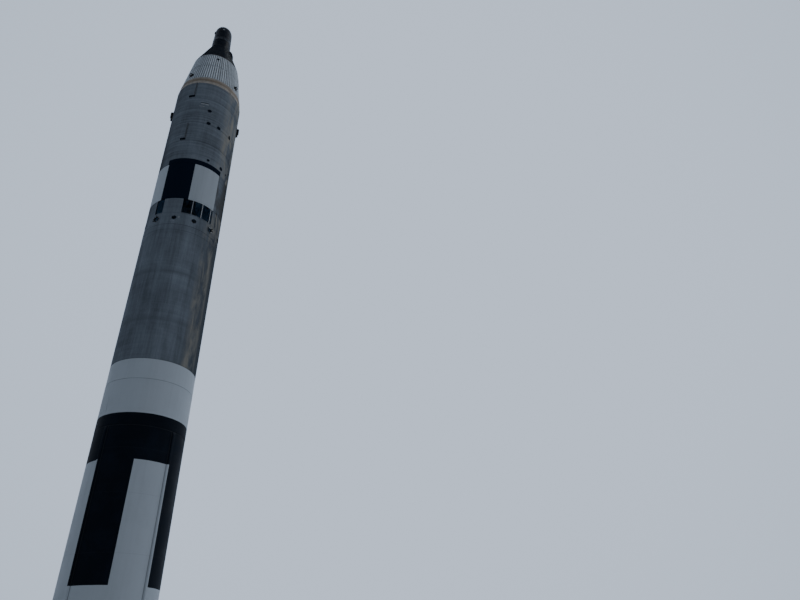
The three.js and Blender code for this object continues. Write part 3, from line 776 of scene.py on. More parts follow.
def shingles(name, black):
    """Matt black shingles, with painted highlights as grey streaks round one side."""
    finish = Finish(name, Specular_IOR_Level=0.035)
    cloud, fine = finish.noise(3.0, 5.0, 0.6), finish.noise(90.0, 3.0, 0.6)
    # The grey streaks round azimuth 36 are painted highlights, where the beads' sides catch the
    # light.
    side = (finish.azimuth() - 36).math("ABSOLUTE").spread(22, 8)
    worn = finish.noise(36.0, 3.0, 0.55, stretch=(1, 1, 0.03)).spread(0.46, 0.60) * side
    shade = finish.blend(black, scaled(black, 2.2), cloud.spread(0.45, 0.75))
    finish.feed("Base Color", finish.blend(shade, (0.22, 0.22, 0.21), worn * 0.9))
    finish.roughen(cloud, 0.55, 0.75)
    finish.bump(fine * 0.3 + cloud * 0.7, 0.15, 0.004)
    return finish.material


def tan_ring(name, tan):
    """Primer in three tones up the mating ring; the lighter tone along both edges is painted
    highlight.
    """
    finish = Finish(name, Specular_IOR_Level=0.25)
    cloud = finish.noise(5.0, 5.0, 0.6)
    fall = streaks(finish)
    low, high = FORWARD_TOP, ADAPTER_BASE
    edge = (finish.z < low + 0.05).math("MAXIMUM", finish.z > high - 0.05)
    brown = finish.z.within(low + 0.20, high - 0.13)
    colour = finish.blend(tan, scaled(tan, 0.62, 0.52, 0.42), brown * 0.8)
    # Painted highlight along both edges of the ring.
    colour = finish.blend(colour, scaled(tan, 1.25, 1.28, 1.34), edge * 0.7)
    colour = finish.blend(colour, scaled(tan, 0.45), (cloud * 0.5 + fall * 0.5).spread(0.45, 0.7))
    finish.feed("Base Color", colour)
    finish.roughen(cloud, 0.55, 0.75)
    finish.bump(cloud, 0.3, 0.006)
    return finish.material


def plain_metal(name, colour, metallic=0.85, rough=(0.3, 0.5), scale=14.0, heat=None,
                specular=0.5):
    """Worked metal, with a second colour where heat or rust has tinted it."""
    finish = Finish(name, Metallic=metallic, Specular_IOR_Level=specular)
    cloud = finish.noise(scale, 5.0, 0.6)
    fine = finish.noise(scale * 9, 3.0, 0.6)
    shade = finish.blend(scaled(colour, 0.7), scaled(colour, 1.2), cloud.spread(0.3, 0.7))
    if heat:
        shade = finish.blend(shade, heat, finish.noise(scale * 0.4, 6.0, 0.65).spread(0.48, 0.68))
    finish.feed("Base Color", shade)
    finish.roughen(cloud, *rough)
    finish.bump(fine * 0.6 + cloud * 0.4, 0.2, 0.002)
    return finish.material


def plain_paint(name, colour, worn, rough=(0.42, 0.6), scale=3.0, specular=0.3):
    """Paint with a worn second colour in blotches and rain marks."""
    finish = Finish(name, Specular_IOR_Level=specular)
    fall = streaks(finish)
    cloud = finish.noise(scale, 5.0, 0.6)
    fine = finish.noise(scale * 40, 3.0, 0.6)
    share = (fall.spread(0.4, 0.7) * 0.5 + cloud.spread(0.45, 0.75) * 0.5).math("MINIMUM", 1)
    finish.feed("Base Color", finish.blend(colour, worn, share))
    finish.roughen(cloud, *rough)
    finish.bump(fine * 0.3 + cloud * 0.7, 0.15, 0.004)
    return finish.material


def woven(name, colour):
    """A coarse cover cloth."""
    finish = Finish(name, Sheen_Weight=0.3, Specular_IOR_Level=0.2)
    warp = (finish.x * 1400).math("SINE") * (finish.y * 1400).math("SINE")
    weft = (finish.z * 1400).math("SINE")
    cloud = finish.noise(9.0, 4.0)
    finish.feed("Base Color", finish.blend(colour, scaled(colour, 0.55),
                                           cloud.spread(0.35, 0.7) * 0.6 + warp * 0.12))
    finish.roughen(cloud, 0.82, 0.95)
    finish.bump(warp * 0.5 + weft * 0.5, 0.35, 0.001)
    return finish.material


def clear_glass(name):
    """Thick window glass that looks dark from outside."""
    finish = Finish(name, IOR=1.5, Transmission_Weight=0.25)
    film = finish.noise(12.0, 4.0)
    finish.feed("Base Color", finish.blend((0.010, 0.013, 0.016), (0.030, 0.033, 0.036), film))
    finish.feed("Roughness", film.spread(0.3, 0.8, 0.05, 0.12))
    return finish.material


def charred(name, colour):
    """The moulded face of the heat shield."""
    finish = Finish(name, Specular_IOR_Level=0.2)
    cells = Wire(finish, finish.node("ShaderNodeTexVoronoi", {"feature": "DISTANCE_TO_EDGE"},
                                     {"Vector": finish.place, "Scale": 60.0}).outputs[0])
    cloud = finish.noise(6.0, 5.0)
    finish.feed("Base Color", finish.blend(colour, scaled(colour, 0.45), cloud))
    finish.roughen(cloud, 0.8, 0.95)
    finish.bump(cells, 0.4, 0.004)
    return finish.material


FINISHES = {}


def finish(key):
    """The finish of that name, made once from the colours in the panel."""
    if key not in FINISHES:
        scene = bpy.context.scene
        c, ribs = scene.rocket_colours, scene.rocket_sizes.ribs
        white, black = tuple(c.white_paint), tuple(c.black_paint)
        metal, tan = tuple(c.bare_metal), tuple(c.primer)
        rust = (0.16, 0.075, 0.035)
        makers = {
            "painted_wall": lambda: painted_wall("painted_wall", white, black),
            "metal_wall": lambda: metal_wall("metal_wall", metal, white, black),
            "ribbed": lambda: ribbed_skin("ribbed_white", white, ribs),
            "tan": lambda: tan_ring("tan_primer", tan),
            "band": lambda: plain_paint("adapter_band", scaled(white, 0.8), scaled(white, 0.45)),
            "black": lambda: shingles("black_shingle", black),
            "nose": lambda: plain_paint("nose_black", black, scaled(black, 1.8),
                                        rough=(0.30, 0.45), specular=0.09),
            # The nose cap's white is raised above the paint's as painted light, for the sky on its
            # upward face.
            "cap": lambda: plain_paint("nose_cap_skylit_paint", scaled(white, 1.40, 1.36, 1.32),
                                       scaled(white, 1.0)),
            "conduit": lambda: plain_metal("conduit_metal", scaled(metal, 0.55), 0.3,
                                           (0.5, 0.7), specular=0.3),
            "dark": lambda: plain_metal("dark_fitting", (0.012, 0.013, 0.016), 0.2, (0.5, 0.7),
                                        specular=0.25),
            "hollow": lambda: plain_paint("inside_blue_grey", (0.30, 0.46, 0.60),
                                          (0.20, 0.32, 0.43), specular=0.1),
            # Near-black painted shade, for hole linings, port caps, feet and other places where
            # shade falls.
            "shade_black": lambda: plain_paint("painted_shade_black", (0.004, 0.009, 0.018),
                                        (0.009, 0.016, 0.026), rough=(0.8, 0.95),
                                        specular=0.05),
            "bright": lambda: plain_metal("bright_strip", (0.42, 0.44, 0.46), 0.4, (0.4, 0.6)),
            "rusty": lambda: plain_paint("rusty_strip", (0.15, 0.06, 0.035), (0.05, 0.03, 0.02)),
            "engine": lambda: plain_metal("engine_metal", (0.30, 0.31, 0.32), 0.9, (0.28, 0.46),
                                          9.0, heat=(0.20, 0.13, 0.08)),
            "stack": lambda: plain_metal("stack_steel", (0.12, 0.12, 0.13), 0.85, (0.35, 0.6),
                                         6.0, heat=(0.11, 0.06, 0.04)),
            "girder": lambda: plain_metal("girder_paint", (0.16, 0.17, 0.15), 0.15, (0.5, 0.7),
                                          5.0, heat=rust, specular=0.35),
            "steel": lambda: plain_metal("bearing_steel", (0.34, 0.35, 0.36), 0.9, (0.22, 0.4),
                                         20.0, heat=rust),
            "inside": lambda: plain_paint("inside_green", (0.10, 0.12, 0.075),
                                          (0.05, 0.055, 0.04), scale=5.0),
            "bay": lambda: plain_paint("bay_lining", (0.13, 0.14, 0.125), (0.06, 0.06, 0.055),
                                       scale=2.5),
            "shell": lambda: plain_paint("seat_shell", (0.22, 0.23, 0.24), (0.12, 0.12, 0.12),
                                         scale=8.0),
            "cloth": lambda: woven("seat_cloth", (0.30, 0.31, 0.27)),
            "strap": lambda: woven("strap_web", (0.12, 0.13, 0.15)),
            "glass": lambda: clear_glass("window_glass"),
            "char": lambda: charred("heat_shield_face", (0.070, 0.055, 0.045)),
        }
        FINISHES[key] = makers[key]()
    return FINISHES[key]


# Sizes and colours that a user would change

class RocketSizes(bpy.types.PropertyGroup):
    facets: bpy.props.IntProperty(
        name="Facets", description="Facets round the wall", default=192, min=48, max=512)
    ribs: bpy.props.IntProperty(
        name="Adapter ribs", description="Ribs round the white adapter", default=80, min=24)
    rib_height: bpy.props.FloatProperty(
        name="Rib height", description="How far an adapter rib stands out", default=0.016,
        unit="LENGTH")
    beads: bpy.props.IntProperty(
        name="Cabin beads", description="Raised beads round the cabin", default=90, min=24)
    rivet_pitch: bpy.props.FloatProperty(
        name="Rivet pitch", description="Distance between rivets in a column", default=0.075,
        unit="LENGTH")
    raceway_width: bpy.props.FloatProperty(
        name="Raceway width", description="Width of a raceway cover", default=0.165,
        unit="LENGTH")


class RocketColours(bpy.types.PropertyGroup):
    white_paint: bpy.props.FloatVectorProperty(
        name="White paint", description="Weathered white of the stages", subtype="COLOR",
        size=3, default=(0.60, 0.645, 0.68))
    # The black's blue tint is partly painted sky reflection.
    black_paint: bpy.props.FloatVectorProperty(
        name="Black paint", description="Black of the sectors and the capsule", subtype="COLOR",
        size=3, default=(0.0050, 0.0085, 0.0150))
    bare_metal: bpy.props.FloatVectorProperty(
        name="Bare metal", description="Dull skin of the tanks", subtype="COLOR",
        size=3, default=(0.205, 0.232, 0.262))
    primer: bpy.props.FloatVectorProperty(
        name="Primer", description="Tan ring under the adapter", subtype="COLOR",
        size=3, default=(0.44, 0.385, 0.32))
    floor: bpy.props.FloatVectorProperty(
        name="Floor", description="Pale floor under the rocket", subtype="COLOR",
        size=3, default=(0.53, 0.54, 0.55))


# Operators

class RocketOperator(bpy.types.Operator):
    bl_options = {"REGISTER", "UNDO"}

    def execute(self, context):
        self.make(context, context.scene.rocket_sizes)
        return {"FINISHED"}


def barrel_profile(low, high, radius, wall=None, groove=0.006):
    """The outline of a section, with a shallow groove at both joints."""
    seat, steps = radius - groove, max(1, int((high - low) / 0.6))
    outer = [(seat, low + HAIR), (seat, low + 0.004),
             *[(radius, h) for h in np.linspace(low + 0.010, high - 0.010, steps + 1)],
             (seat, high - 0.004), (seat, high - HAIR)]
    if wall is None:
        return [(0, low + HAIR), *outer, (0, high - HAIR)]
    inner = radius - wall
    return [(inner, low + HAIR), *outer, (inner, high - HAIR), (inner, low + HAIR)]


class ROCKET_OT_first_stage(RocketOperator):
    """Skins of the first stage with rivets on its skirts and bands at its joints"""
    bl_idname = "rocket.first_stage"
    bl_label = "First stage skins"

    def make(self, context, sizes):
        n = sizes.facets
        inside = 1.484
        tail = Build().revolve([
            (1.454, 0.0), (1.518, 0.0), (1.524, 0.006), (1.524, 0.118), (1.521, 0.124),
            (1.521, 1.290), (1.515, 1.296), (1.515, 1.2996), (inside, 1.2996), (inside, 0.120),
            (1.454, 0.090), (1.454, 0.0),
        ], n)
        for h in (0.330, 0.680, 1.000):
            tail.revolve([(inside + 0.004, h), (inside + 0.004, h + 0.034),
                          (1.424, h + 0.034), (1.424, h + 0.026), (1.470, h + 0.022),
                          (1.470, h + 0.012), (1.424, h + 0.008), (1.424, h),
                          (inside + 0.004, h)], 144)
        rivet_columns(tail, RIVET_AZIMUTHS, 0.19, 1.25, sizes.rivet_pitch)
        rivet_rings(tail, (0.03, 0.09, 0.16, 1.27), 0.06)
        for azimuth in np.arange(7.5, 360, 15):
            tail.box((-0.02, 0.125, -0.062), (0.02, 1.29, -0.040), wall_frame(azimuth, 0.0))
        skirt = tail.piece("tail_skirt_skin", "painted_wall", stands_for=["tail_skirt"],
                           slot="white_paint")
        refinish(skirt, "bay", inside_wall(0.035))

        tank = Build().revolve([
            (0, 0.760), (0.25, 0.772), (0.50, 0.800), (0.70, 0.842), (0.90, 0.900), (1.06, 0.970),
            (1.20, 1.060), (1.31, 1.145), (1.40, 1.240), (1.460, 1.2994), (1.515, 1.3004),
            (1.515, 1.304), (1.521, 1.310),
            *[(1.521, h) for h in np.linspace(1.9, 7.5, 9)],
            (1.521, 8.110), (1.515, 8.116), (1.515, 8.1194), (0, 8.1194),
        ], n)
        tank = tank.piece("fuel_tank_skin", "painted_wall", stands_for=["fuel_tank"],
                          slot="white_paint")
        refinish(tank, "bay", inside_wall(0.035))

        middle = Build().revolve(barrel_profile(8.12, 9.82, 1.522), n)
        rivet_columns(middle, np.arange(0, 360, 6), 8.22, 9.74, sizes.rivet_pitch)
        rivet_rings(middle, (8.15, 8.19, 9.75, 9.79), 0.06)
        for azimuth in (-62, 118):
            wall_plate(middle, azimuth, 9.0, 0.42, 0.52, 0.008, 0.03)
        middle.piece("between_tanks_skin", "painted_wall", stands_for=["between_tanks"],
                     slot="white_paint")

        oxidizer = Build().revolve([
            (0, 9.8204), (1.514, 9.8204), (1.514, 9.824), (1.521, 9.832), (1.521, 10.30),
            (1.521, WHITE_BAND_TOP), *[(1.521, h) for h in np.linspace(11.2, 16.1, 9)],
            (1.521, 16.38), (1.5235, 16.40), (1.5235, 16.69), (1.515, 16.696),
            (1.515, 16.6994), (1.47, 16.6996), (1.40, 16.76), (1.25, 16.86), (1.08, 16.95),
            (0.90, 17.03), (0.70, 17.095), (0.50, 17.14), (0.25, 17.17), (0, 17.18),
        ], n)
        rivet_rings(oxidizer, (16.44, 16.66), 0.07)
        skin = oxidizer.piece("oxidizer_tank_skin", "metal_wall",
                              stands_for=["oxidizer_tank"], slot="bare_metal")
        refinish(skin, "painted_wall", lambda x, y, z: z < WHITE_BAND_TOP)
        refinish(skin, "hollow", inside_wall(0.035))


class ROCKET_OT_raceways(RocketOperator):
    """Covers along the fuel tank, in lapped lengths with screwed flanges"""
    bl_idname = "rocket.raceways"
    bl_label = "Raceways"

    def make(self, context, sizes):
        half, low, high = sizes.raceway_width / 2, 0.23, 8.12
        section = [(-half, 0.0), (-half, 0.010), (-half + 0.02, 0.012), (-half + 0.028, 0.040),
                   (-half + 0.045, 0.050), (half - 0.045, 0.050), (half - 0.028, 0.040),
                   (half - 0.02, 0.012), (half, 0.010), (half, 0.0)]
        stations = [(low, 0.02), (low + 0.15, 1.0)]
        for s in np.linspace(low + 0.15, high - 0.15, 8)[1:-1]:
            stations += [(s - 0.03, 1.0), (s - 0.028, 1.04), (s + 0.028, 1.04), (s + 0.03, 1.0)]
        stations += [(high - 0.15, 1.0), (high - 0.0005, 0.02)]
        head = dome_form(0.009, 0.005)
        offset = math.degrees((half - 0.010) / BODY_RADIUS)
        for i, azimuth in enumerate(RACEWAYS):
            sections = []
            for h, share in stations:
                at = wall_frame(azimuth, h)
                sections.append([])
                for s, rise in section:
                    drop = BODY_RADIUS - math.sqrt(BODY_RADIUS ** 2 - s * s)
                    sections[-1].append(at @ Vector((s, 0, rise * share + 0.001 - drop * 0.9)))
            build = Build().loft(sections)
            build.copies(*head, [wall_frame(azimuth + side * offset, h, 0.010)
                                 for side in (-1, 1)
                                 for h in np.arange(low + 0.1, high - 0.1, 0.16)])
            build.piece("raceway_cover_%d" % (i + 1), "painted_wall",
                        stands_for=["raceway_%d" % (i + 1)], slot="white_paint", crease=25)


class ROCKET_OT_interstage(RocketOperator):
    """The vented wall: a row of windows over a row of ports, with stiles and torn seals"""
    bl_idname = "rocket.interstage"
    bl_label = "Interstage"

    def make(self, context, sizes):
        low, high = 16.7, 18.13
        wall = Build().revolve(barrel_profile(low, high, 1.5225, wall=0.038), sizes.facets)
        outer = wall.piece("interstage_wall", "metal_wall",
                           stands_for=["interstage", "vent_wall"], slot="bare_metal")
        cutters = Build()
        for k in OPEN_VENTS:
            a = VENT_FIRST + VENT_PITCH * k
            cutters.revolve(square_ring(1.40, 1.62, *VENT_HEIGHTS), 8, arc=(a, a + VENT_WIDTH))
        for azimuth in PORT_AZIMUTHS:
            cutters.revolve([(0, -0.15), (PORT_RADIUS, -0.15), (PORT_RADIUS, 0.15), (0, 0.15)],
                            32, place=wall_frame(azimuth, PORT_HEIGHT))
        # The cut faces take the near-black painted shade inside the windows and ports.
        cut(outer, cutters.form("cutter", "shade_black"))
        refinish(outer, "hollow", inside_wall(0.032))

        trim = Build()
        for k in OPEN_VENTS:
            if k - 1 not in OPEN_VENTS:
                continue
            azimuth = VENT_FIRST + VENT_PITCH * k - (VENT_PITCH - VENT_WIDTH) / 2
            at = wall_frame(azimuth, sum(VENT_HEIGHTS) / 2)
            trim.box((-0.015, -0.368, -0.002), (0.015, 0.368, 0.0030), at)
            trim.copies(*dome_form(0.006, 0.003), [
                at @ shift(0, y, 0.0030) for y in np.arange(-0.35, 0.36, 0.07)])
        trim.piece("window_stiles", "bright", slot="bare_metal")

        rows = Build()
        rivet_rings(rows, (16.76, 17.27, 18.10), 0.07)
        lip = ring_form(PORT_RADIUS + 0.001, PORT_RADIUS + 0.016, 0.005, 40)
        rows.copies(*lip, [wall_frame(a, PORT_HEIGHT) for a in PORT_AZIMUTHS])
        rows.piece("wall_rivets", "metal_wall", slot="bare_metal")

        rags, pale = Build(), Build()
        rng = np.random.default_rng(7)
        for azimuth in (-45, 45, 135, 225):
            for angle in np.arange(0, 360, 27):
                # Some rags by the ports at 45 and 225 are bright, as painted highlights on the torn
                # seals.
                strip = pale if azimuth in (45, 225) and rng.uniform() < 0.45 else rags
                turn = Matrix.Rotation(math.radians(angle + rng.uniform(-9, 9)), 4, "Z")
                at = wall_frame(azimuth, PORT_HEIGHT) @ turn
                reach, width = rng.uniform(0.035, 0.095), rng.uniform(0.020, 0.034)
                lift, skew = rng.uniform(0.012, 0.050), rng.uniform(-0.012, 0.012)
                sections = []
                for share, narrow in ((0.0, 1.0), (0.35, 0.95), (0.7, 0.7), (1.0, 0.25)):
                    x, y = 0.088 + reach * share, skew * share
                    z = 0.002 + lift * share ** 1.6
                    half = width * narrow
                    sections.append([at @ Vector(p) for p in (
                        (x, y - half, z), (x, y + half, z), (x - 0.001, y + half, z + 0.003),
                        (x - 0.001, y - half, z + 0.003))])
                strip.loft(sections)
        rags.piece("torn_seals", "dark", slot="dark_steel")
        pale.piece("torn_seal_highlights", "bright", slot="bare_metal")

        blank = Build()
        low, high = VENT_HEIGHTS
        blank.revolve(square_ring(1.486, 1.510, low - 0.004, high + 0.004), 12, arc=(45.2, 55.8))
        blank.piece("window_blank", "metal_wall", slot="bare_metal")

        marks = Build()
        wall_plate(marks, -8.3, 17.06, 0.07, 0.09, 0.003, 0.01)
        for azimuth in (-19, -15, -11):
            wall_plate(marks, azimuth, 16.86, 0.05, 0.012, 0.003, 0.004)
        marks.piece("worn_patch", "bright", slot="bare_metal")


class ROCKET_OT_second_stage(RocketOperator):
    """Skins of the second stage and the bell of its engine"""
    bl_idname = "rocket.second_stage"
    bl_label = "Second stage skins"

    def make(self, context, sizes):
        n = sizes.facets
        skirt = Build().revolve([
            (1.484, 18.1304), (1.515, 18.1304), (1.515, 18.134), (1.5225, 18.142),
            *[(1.5225, h) for h in np.linspace(18.5, 19.8, 4)],
            (1.5225, 20.108), (1.515, 20.115), (1.515, 20.1194), (0, 20.1194), (0, 19.7003),
            (0.90, 19.7404), (1.30, 19.9004), (1.484, 20.0204), (1.484, 18.1304),
        ], n)
        rivet_columns(skirt, RIVET_AZIMUTHS, 18.2, 20.05, sizes.rivet_pitch)
        rivet_rings(skirt, (18.16, 20.09), 0.06)
        skirt = skirt.piece("upper_aft_skirt_skin", "metal_wall",
                            stands_for=["upper_aft_skirt"], slot="black_paint")
        refinish(skirt, "hollow", inside_wall(0.032))
        for node, low, high, riveted in (
                ("upper_fuel_tank", 20.12, 21.51, False),
                ("upper_between_tanks", 21.51, 22.68, True),
                ("upper_oxidizer_tank", 22.68, 24.30, False),
                ("forward_skirt", 24.30, 25.40, True)):
            build = Build().revolve(barrel_profile(low, high, 1.5225), n)
            if riveted:
                rivet_columns(build, RIVET_AZIMUTHS, low + 0.09, high - 0.09, sizes.rivet_pitch)
            rivet_rings(build, (low + 0.035, high - 0.035), 0.07)
            build.piece(node + "_skin", "metal_wall", stands_for=[node], slot="bare_metal")
        engine = Build().revolve([
            (0, 17.3604), (0.60, 17.3604), (0.79, 17.3604), (0.838, 17.38), (0.79, 17.55),
            (0.71, 17.78), (0.62, 18.0), (0.50, 18.25), (0.38, 18.5), (0.31, 18.8),
            (0.30, 19.0), (0.30, 19.6994), (0, 19.6994)], 144,
            ripple=lambda a, r, h: 0.004 * np.cos(a * 36) if 17.4 < h < 18.6 else 0 * a)
        engine.piece("upper_engine_bell", "engine", stands_for=["upper_engine"],
                     slot="engine_metal")


class ROCKET_OT_wall_fittings(RocketOperator):
    """Ports, conduits, plates and flank fittings of the second stage"""
    bl_idname = "rocket.wall_fittings"
    bl_label = "Wall fittings"

    # azimuth, height, half width, half height of the ports on the front, and of those on both sides
    FRONT_PORTS = ((5.2, 23.55, 0.094, 0.094), (61.6, 20.56, 0.050, 0.050))
    PORTS = (
        (7.6, 22.75, 0.094, 0.094), (26.2, 22.75, 0.094, 0.094), (53.0, 22.75, 0.070, 0.118),
        (18.7, 20.56, 0.066, 0.066), (45.6, 20.56, 0.085, 0.100),
    )
    RUN = -26.2
    # node, azimuth of the foot's end, bottom, top
    LINES = (
        ("service_line_lower", -34.0, 21.54, 22.60),
        ("service_line_upper", -36.0, 24.40, 25.39),
    )

    def make(self, context, sizes):
        caps, rims = Build(), Build()
        back = [(azimuth + 180, *rest) for azimuth, *rest in self.PORTS]
        for azimuth, height, wide, tall in (*self.FRONT_PORTS, *self.PORTS, *back):
            at = wall_frame(azimuth, height) @ Matrix.Diagonal((wide, tall, 1, 1))
            rims.copies(*ring_form(1.0, 1.16, 0.006, 32), [at])
            caps.revolve([(0, -0.01), (0.99, -0.01), (0.99, 0.003), (0.9, 0.006), (0.5, 0.010),
                          (0, 0.011)], 32, place=at)
        # The caps are near-black as painted shade inside the ports.
        caps.piece("port_caps", "shade_black", slot="dark_steel")
        rims.piece("port_rims", "metal_wall", slot="bare_metal")

        for node, foot, low, high in self.LINES:
            run = Build()
            line = outward(self.RUN) * (BODY_RADIUS + 0.028)
            path = [line + Z * h for h in np.linspace(low + 0.05, high - 0.03, 7)]
            path.append(line - outward(self.RUN) * 0.038 + Z * (high - 0.024))
            run.sweep(path, circle(0.024, 12))
            for h in np.arange(low + 0.22, high - 0.08, 0.24):
                wall_plate(run, self.RUN, h, 0.085, 0.030, 0.008, 0.006)
                run.sweep([line + Z * (h - 0.012), line + Z * (h + 0.012)], circle(0.0265, 12))
            run.piece(node + "_run", "conduit", slot="dark_steel")
            # The foot is near-black as painted shade, for its shaded underside and side.
            shoe = Build()
            middle, width = (foot + self.RUN + 1.1) / 2, math.radians(self.RUN + 1.1 - foot)
            wall_plate(shoe, middle, low + 0.04, width * BODY_RADIUS, 0.080, 0.052, 0.022)
            shoe.copies(*bolt_form(0.008, 0.003), [
                wall_frame(foot + step, low + 0.04, 0.051) for step in (1.4, 3.6, 5.8)])
            shoe.piece(node + "_foot", "shade_black", stands_for=[node], slot="dark_steel")

        low = 23.82
        outline = [(-0.02, 0.0), (0.066, 0.0), (0.076, 0.012), (0.076, 0.158), (0.112, 0.182),
                   (0.112, 0.350)]
        outline += [(0.064 + 0.048 * math.cos(a), 0.350 + 0.066 * math.sin(a))
                    for a in np.radians((18, 36, 54, 72, 90))]
        outline += [(-0.02, 0.416)]
        for side, sign in SIDES:
            azimuth = 87 * sign
            fitting = Build()
            fitting.prism(outline, -0.095, 0.095, side_frame(azimuth, low))
            face = wall_frame(azimuth, low + 0.265, radius=BODY_RADIUS + 0.1115)
            fitting.copies(*bolt_form(0.012, 0.002), [
                face @ shift(x, y, 0) for x in (-0.07, 0.07) for y in (-0.06, 0.06)])
            for across in (-0.098, 0.098):
                at = side_frame(azimuth, low + 0.28, across) @ shift(0.055, 0, 0)
                fitting.prism(circle(0.040, 24), -0.006, 0.006, at)
                fitting.prism(circle(0.018, 12), -0.012, 0.012, at)
            wall_plate(fitting, azimuth, low + 0.22, 0.26, 0.50, 0.010, 0.02)
            fitting.piece("flank_bracket_" + side, "dark",
                          stands_for=["flank_fitting_" + side], slot="dark_steel", bevel=0.006)

        plates = Build()
        wall_plate(plates, -5, 23.93, 0.36, 0.075, 0.006, 0.008)
        wall_plate(plates, -9.5, 23.76, 0.24, 0.040, 0.004, 0.006)
        plates.piece("bright_plates", "bright", slot="bare_metal")
        shade = Build()
        wall_plate(shade, -5, 24.00, 0.38, 0.030, 0.004, 0.006)
        shade.piece("plate_shade", "shade_black", slot="dark_steel")


class ROCKET_OT_thrust_frame(RocketOperator):
    """Box girders with plates, stiffeners and forks, and the hold-down feet"""
    bl_idname = "rocket.thrust_frame"
    bl_label = "Thrust frame and feet"

    def make(self, context, sizes):
        low, high, half, plate = 0.45, 0.61, 0.090, 0.014
        reach = 1.4825
        turned = axes(Y, -X, Z)

        def chord(x):
            return math.sqrt(reach ** 2 - x ** 2)

        girders = Build()
        # The cross girders' plates lie a hair inside those of the main one.
        for place, offset, shy in ((turned, 0.0, 0.0), (None, -CHAMBER_OFFSET, 0.0006),
                                   (None, CHAMBER_OFFSET, 0.0006)):
            near, far = offset - half, offset + half
            outline = [(near, -chord(near)), (far, -chord(far)), (far, chord(far)),
                       (near, chord(near))]
            girders.prism(outline, low + shy, low + plate, place)
            girders.prism(outline, high - plate, high - shy, place)
            end = min(chord(near), chord(far)) - 0.004
            for x in (near + 0.010, far - 0.022):
                girders.box((x, -end, low + plate - 0.001), (x + 0.012, end, high - plate + 0.001),
                            place)
            for y in np.arange(-1.2, 1.21, 0.2):
                if abs(y) < end - 0.02:
                    girders.box((near + 0.001, y - 0.004, low + 0.01),
                                (far - 0.001, y + 0.004, high - 0.01), place)
        for sign in (-1, 1):
            at = axes(Y, Z, X, (sign * CHAMBER_OFFSET, 0, PIVOT))
            for lugs in (-1, 1):
                pin_lug(girders, at, lugs, 0.255, 0.045)
                turn = Matrix() if lugs > 0 else FLIPPED
                girders.copies(*bolt_form(0.008, 0.004), [
                    at @ shift(y, 0.10, 0.100 * lugs) @ turn
                    for y in (-0.045, 0.045)])
        head = dome_form(0.006, 0.003)
        girders.copies(*head, [shift(x, y, low) @ FLIPPED
                               for x in np.arange(-1.4, 1.41, 0.08) for y in (-0.075, 0.075)])
        girders.copies(*head, [
            shift(sign * CHAMBER_OFFSET + x, y, low + 0.0006) @ FLIPPED
            for sign in (-1, 1) for x in (-0.075, 0.075) for y in np.arange(-1.2, 1.21, 0.08)
            if abs(y) > 0.12])
        girders.piece("thrust_girders", "girder", stands_for=["thrust_frame"], slot="dark_steel")

        web = [(-0.008, 0.034), (0.078, 0.034), (0.078, 0.060), (0.030, 0.285), (0.012, 0.300),
               (-0.008, 0.300)]
        gusset = [(-0.008, 0.034), (0.070, 0.034), (0.014, 0.13), (-0.008, 0.13)]
        for i, azimuth in enumerate((0, 90, 180, 270)):
            foot = Build()
            at = wall_frame(azimuth, 0.0)
            foot.box((-0.130, 0.0, -0.008), (0.130, 0.035, 0.110), at)
            for across in (-0.012, 0.012):
                foot.prism(web, -0.005, 0.005, side_frame(azimuth, 0.0, across))
            for across in (-0.115, 0.115):
                foot.prism(gusset, -0.006, 0.006, side_frame(azimuth, 0.0, across))
            wall_plate(foot, azimuth, 0.297, 0.180, 0.525, 0.020, 0.02)
            plane = at @ axes(X, -Z, Y, (0, 0.035, 0))
            foot.copies(*bolt_form(0.014, 0.012), [
                plane @ shift(x, -0.055, 0) for x in (-0.075, 0.075)])
            foot.copies(*bolt_form(0.010, 0.004), [
                wall_frame(azimuth + step, h, 0.019)
                for h in np.arange(0.33, 0.55, 0.06) for step in (-2.4, 2.4)])
            foot.piece("foot_plates_%d" % (i + 1), "girder",
                       stands_for=["hold_down_foot_%d" % (i + 1)], slot="dark_steel", bevel=0.002)


class ROCKET_OT_gimbals(RocketOperator):
    """Gimbal crosses with collars, and the yokes on the chambers' domes"""
    bl_idname = "rocket.gimbals"
    bl_label = "Gimbals"

    def make(self, context, sizes):
        pin = [(0, -0.0975), (0.016, -0.0975), (0.0198, -0.094), (0.0198, -0.069),
               (0.027, -0.068), (0.027, -0.054), (0.027, 0.054), (0.027, 0.068),
               (0.0198, 0.069), (0.0198, 0.094), (0.016, 0.0975), (0, 0.0975)]
        for side, sign in SIDES:
            centre = Vector((sign * CHAMBER_OFFSET, 0, PIVOT))
            cross = Build()
            cross.box((-0.055, -0.055, -0.040), (0.055, 0.055, 0.040), shift(*centre))
            cross.revolve(pin, 32, place=axes(Y, Z, X, centre))
            cross.revolve(pin, 32, place=axes(Z, X, Y, centre))
            cross.piece("gimbal_block_" + side, "steel", body="gimbal_" + side,
                        stands_for=["gimbal_cross_" + side], slot="dark_steel", bevel=0.004)

            yoke = Build()
            base = shift(sign * CHAMBER_OFFSET, 0, 0)
            yoke.revolve([(0, 0.2364), (0.101, 0.2364), (0.1045, 0.240), (0.1045, 0.257),
                          (0.101, 0.2615), (0.058, 0.2615), (0.052, 0.257), (0, 0.257)], 48,
                         place=base)
            bolt_circle(yoke, base @ shift(0, 0, 0.2615), 0.088, 12, 0.006, 0.006)
            at = axes(X, -Z, Y, centre)
            for lugs in (-1, 1):
                pin_lug(yoke, at, lugs, 0.0935, 0.0445)
            yoke.piece("yoke_plates_" + side, "girder", body="chamber_" + side,
                       stands_for=["chamber_yoke_" + side], slot="dark_steel")


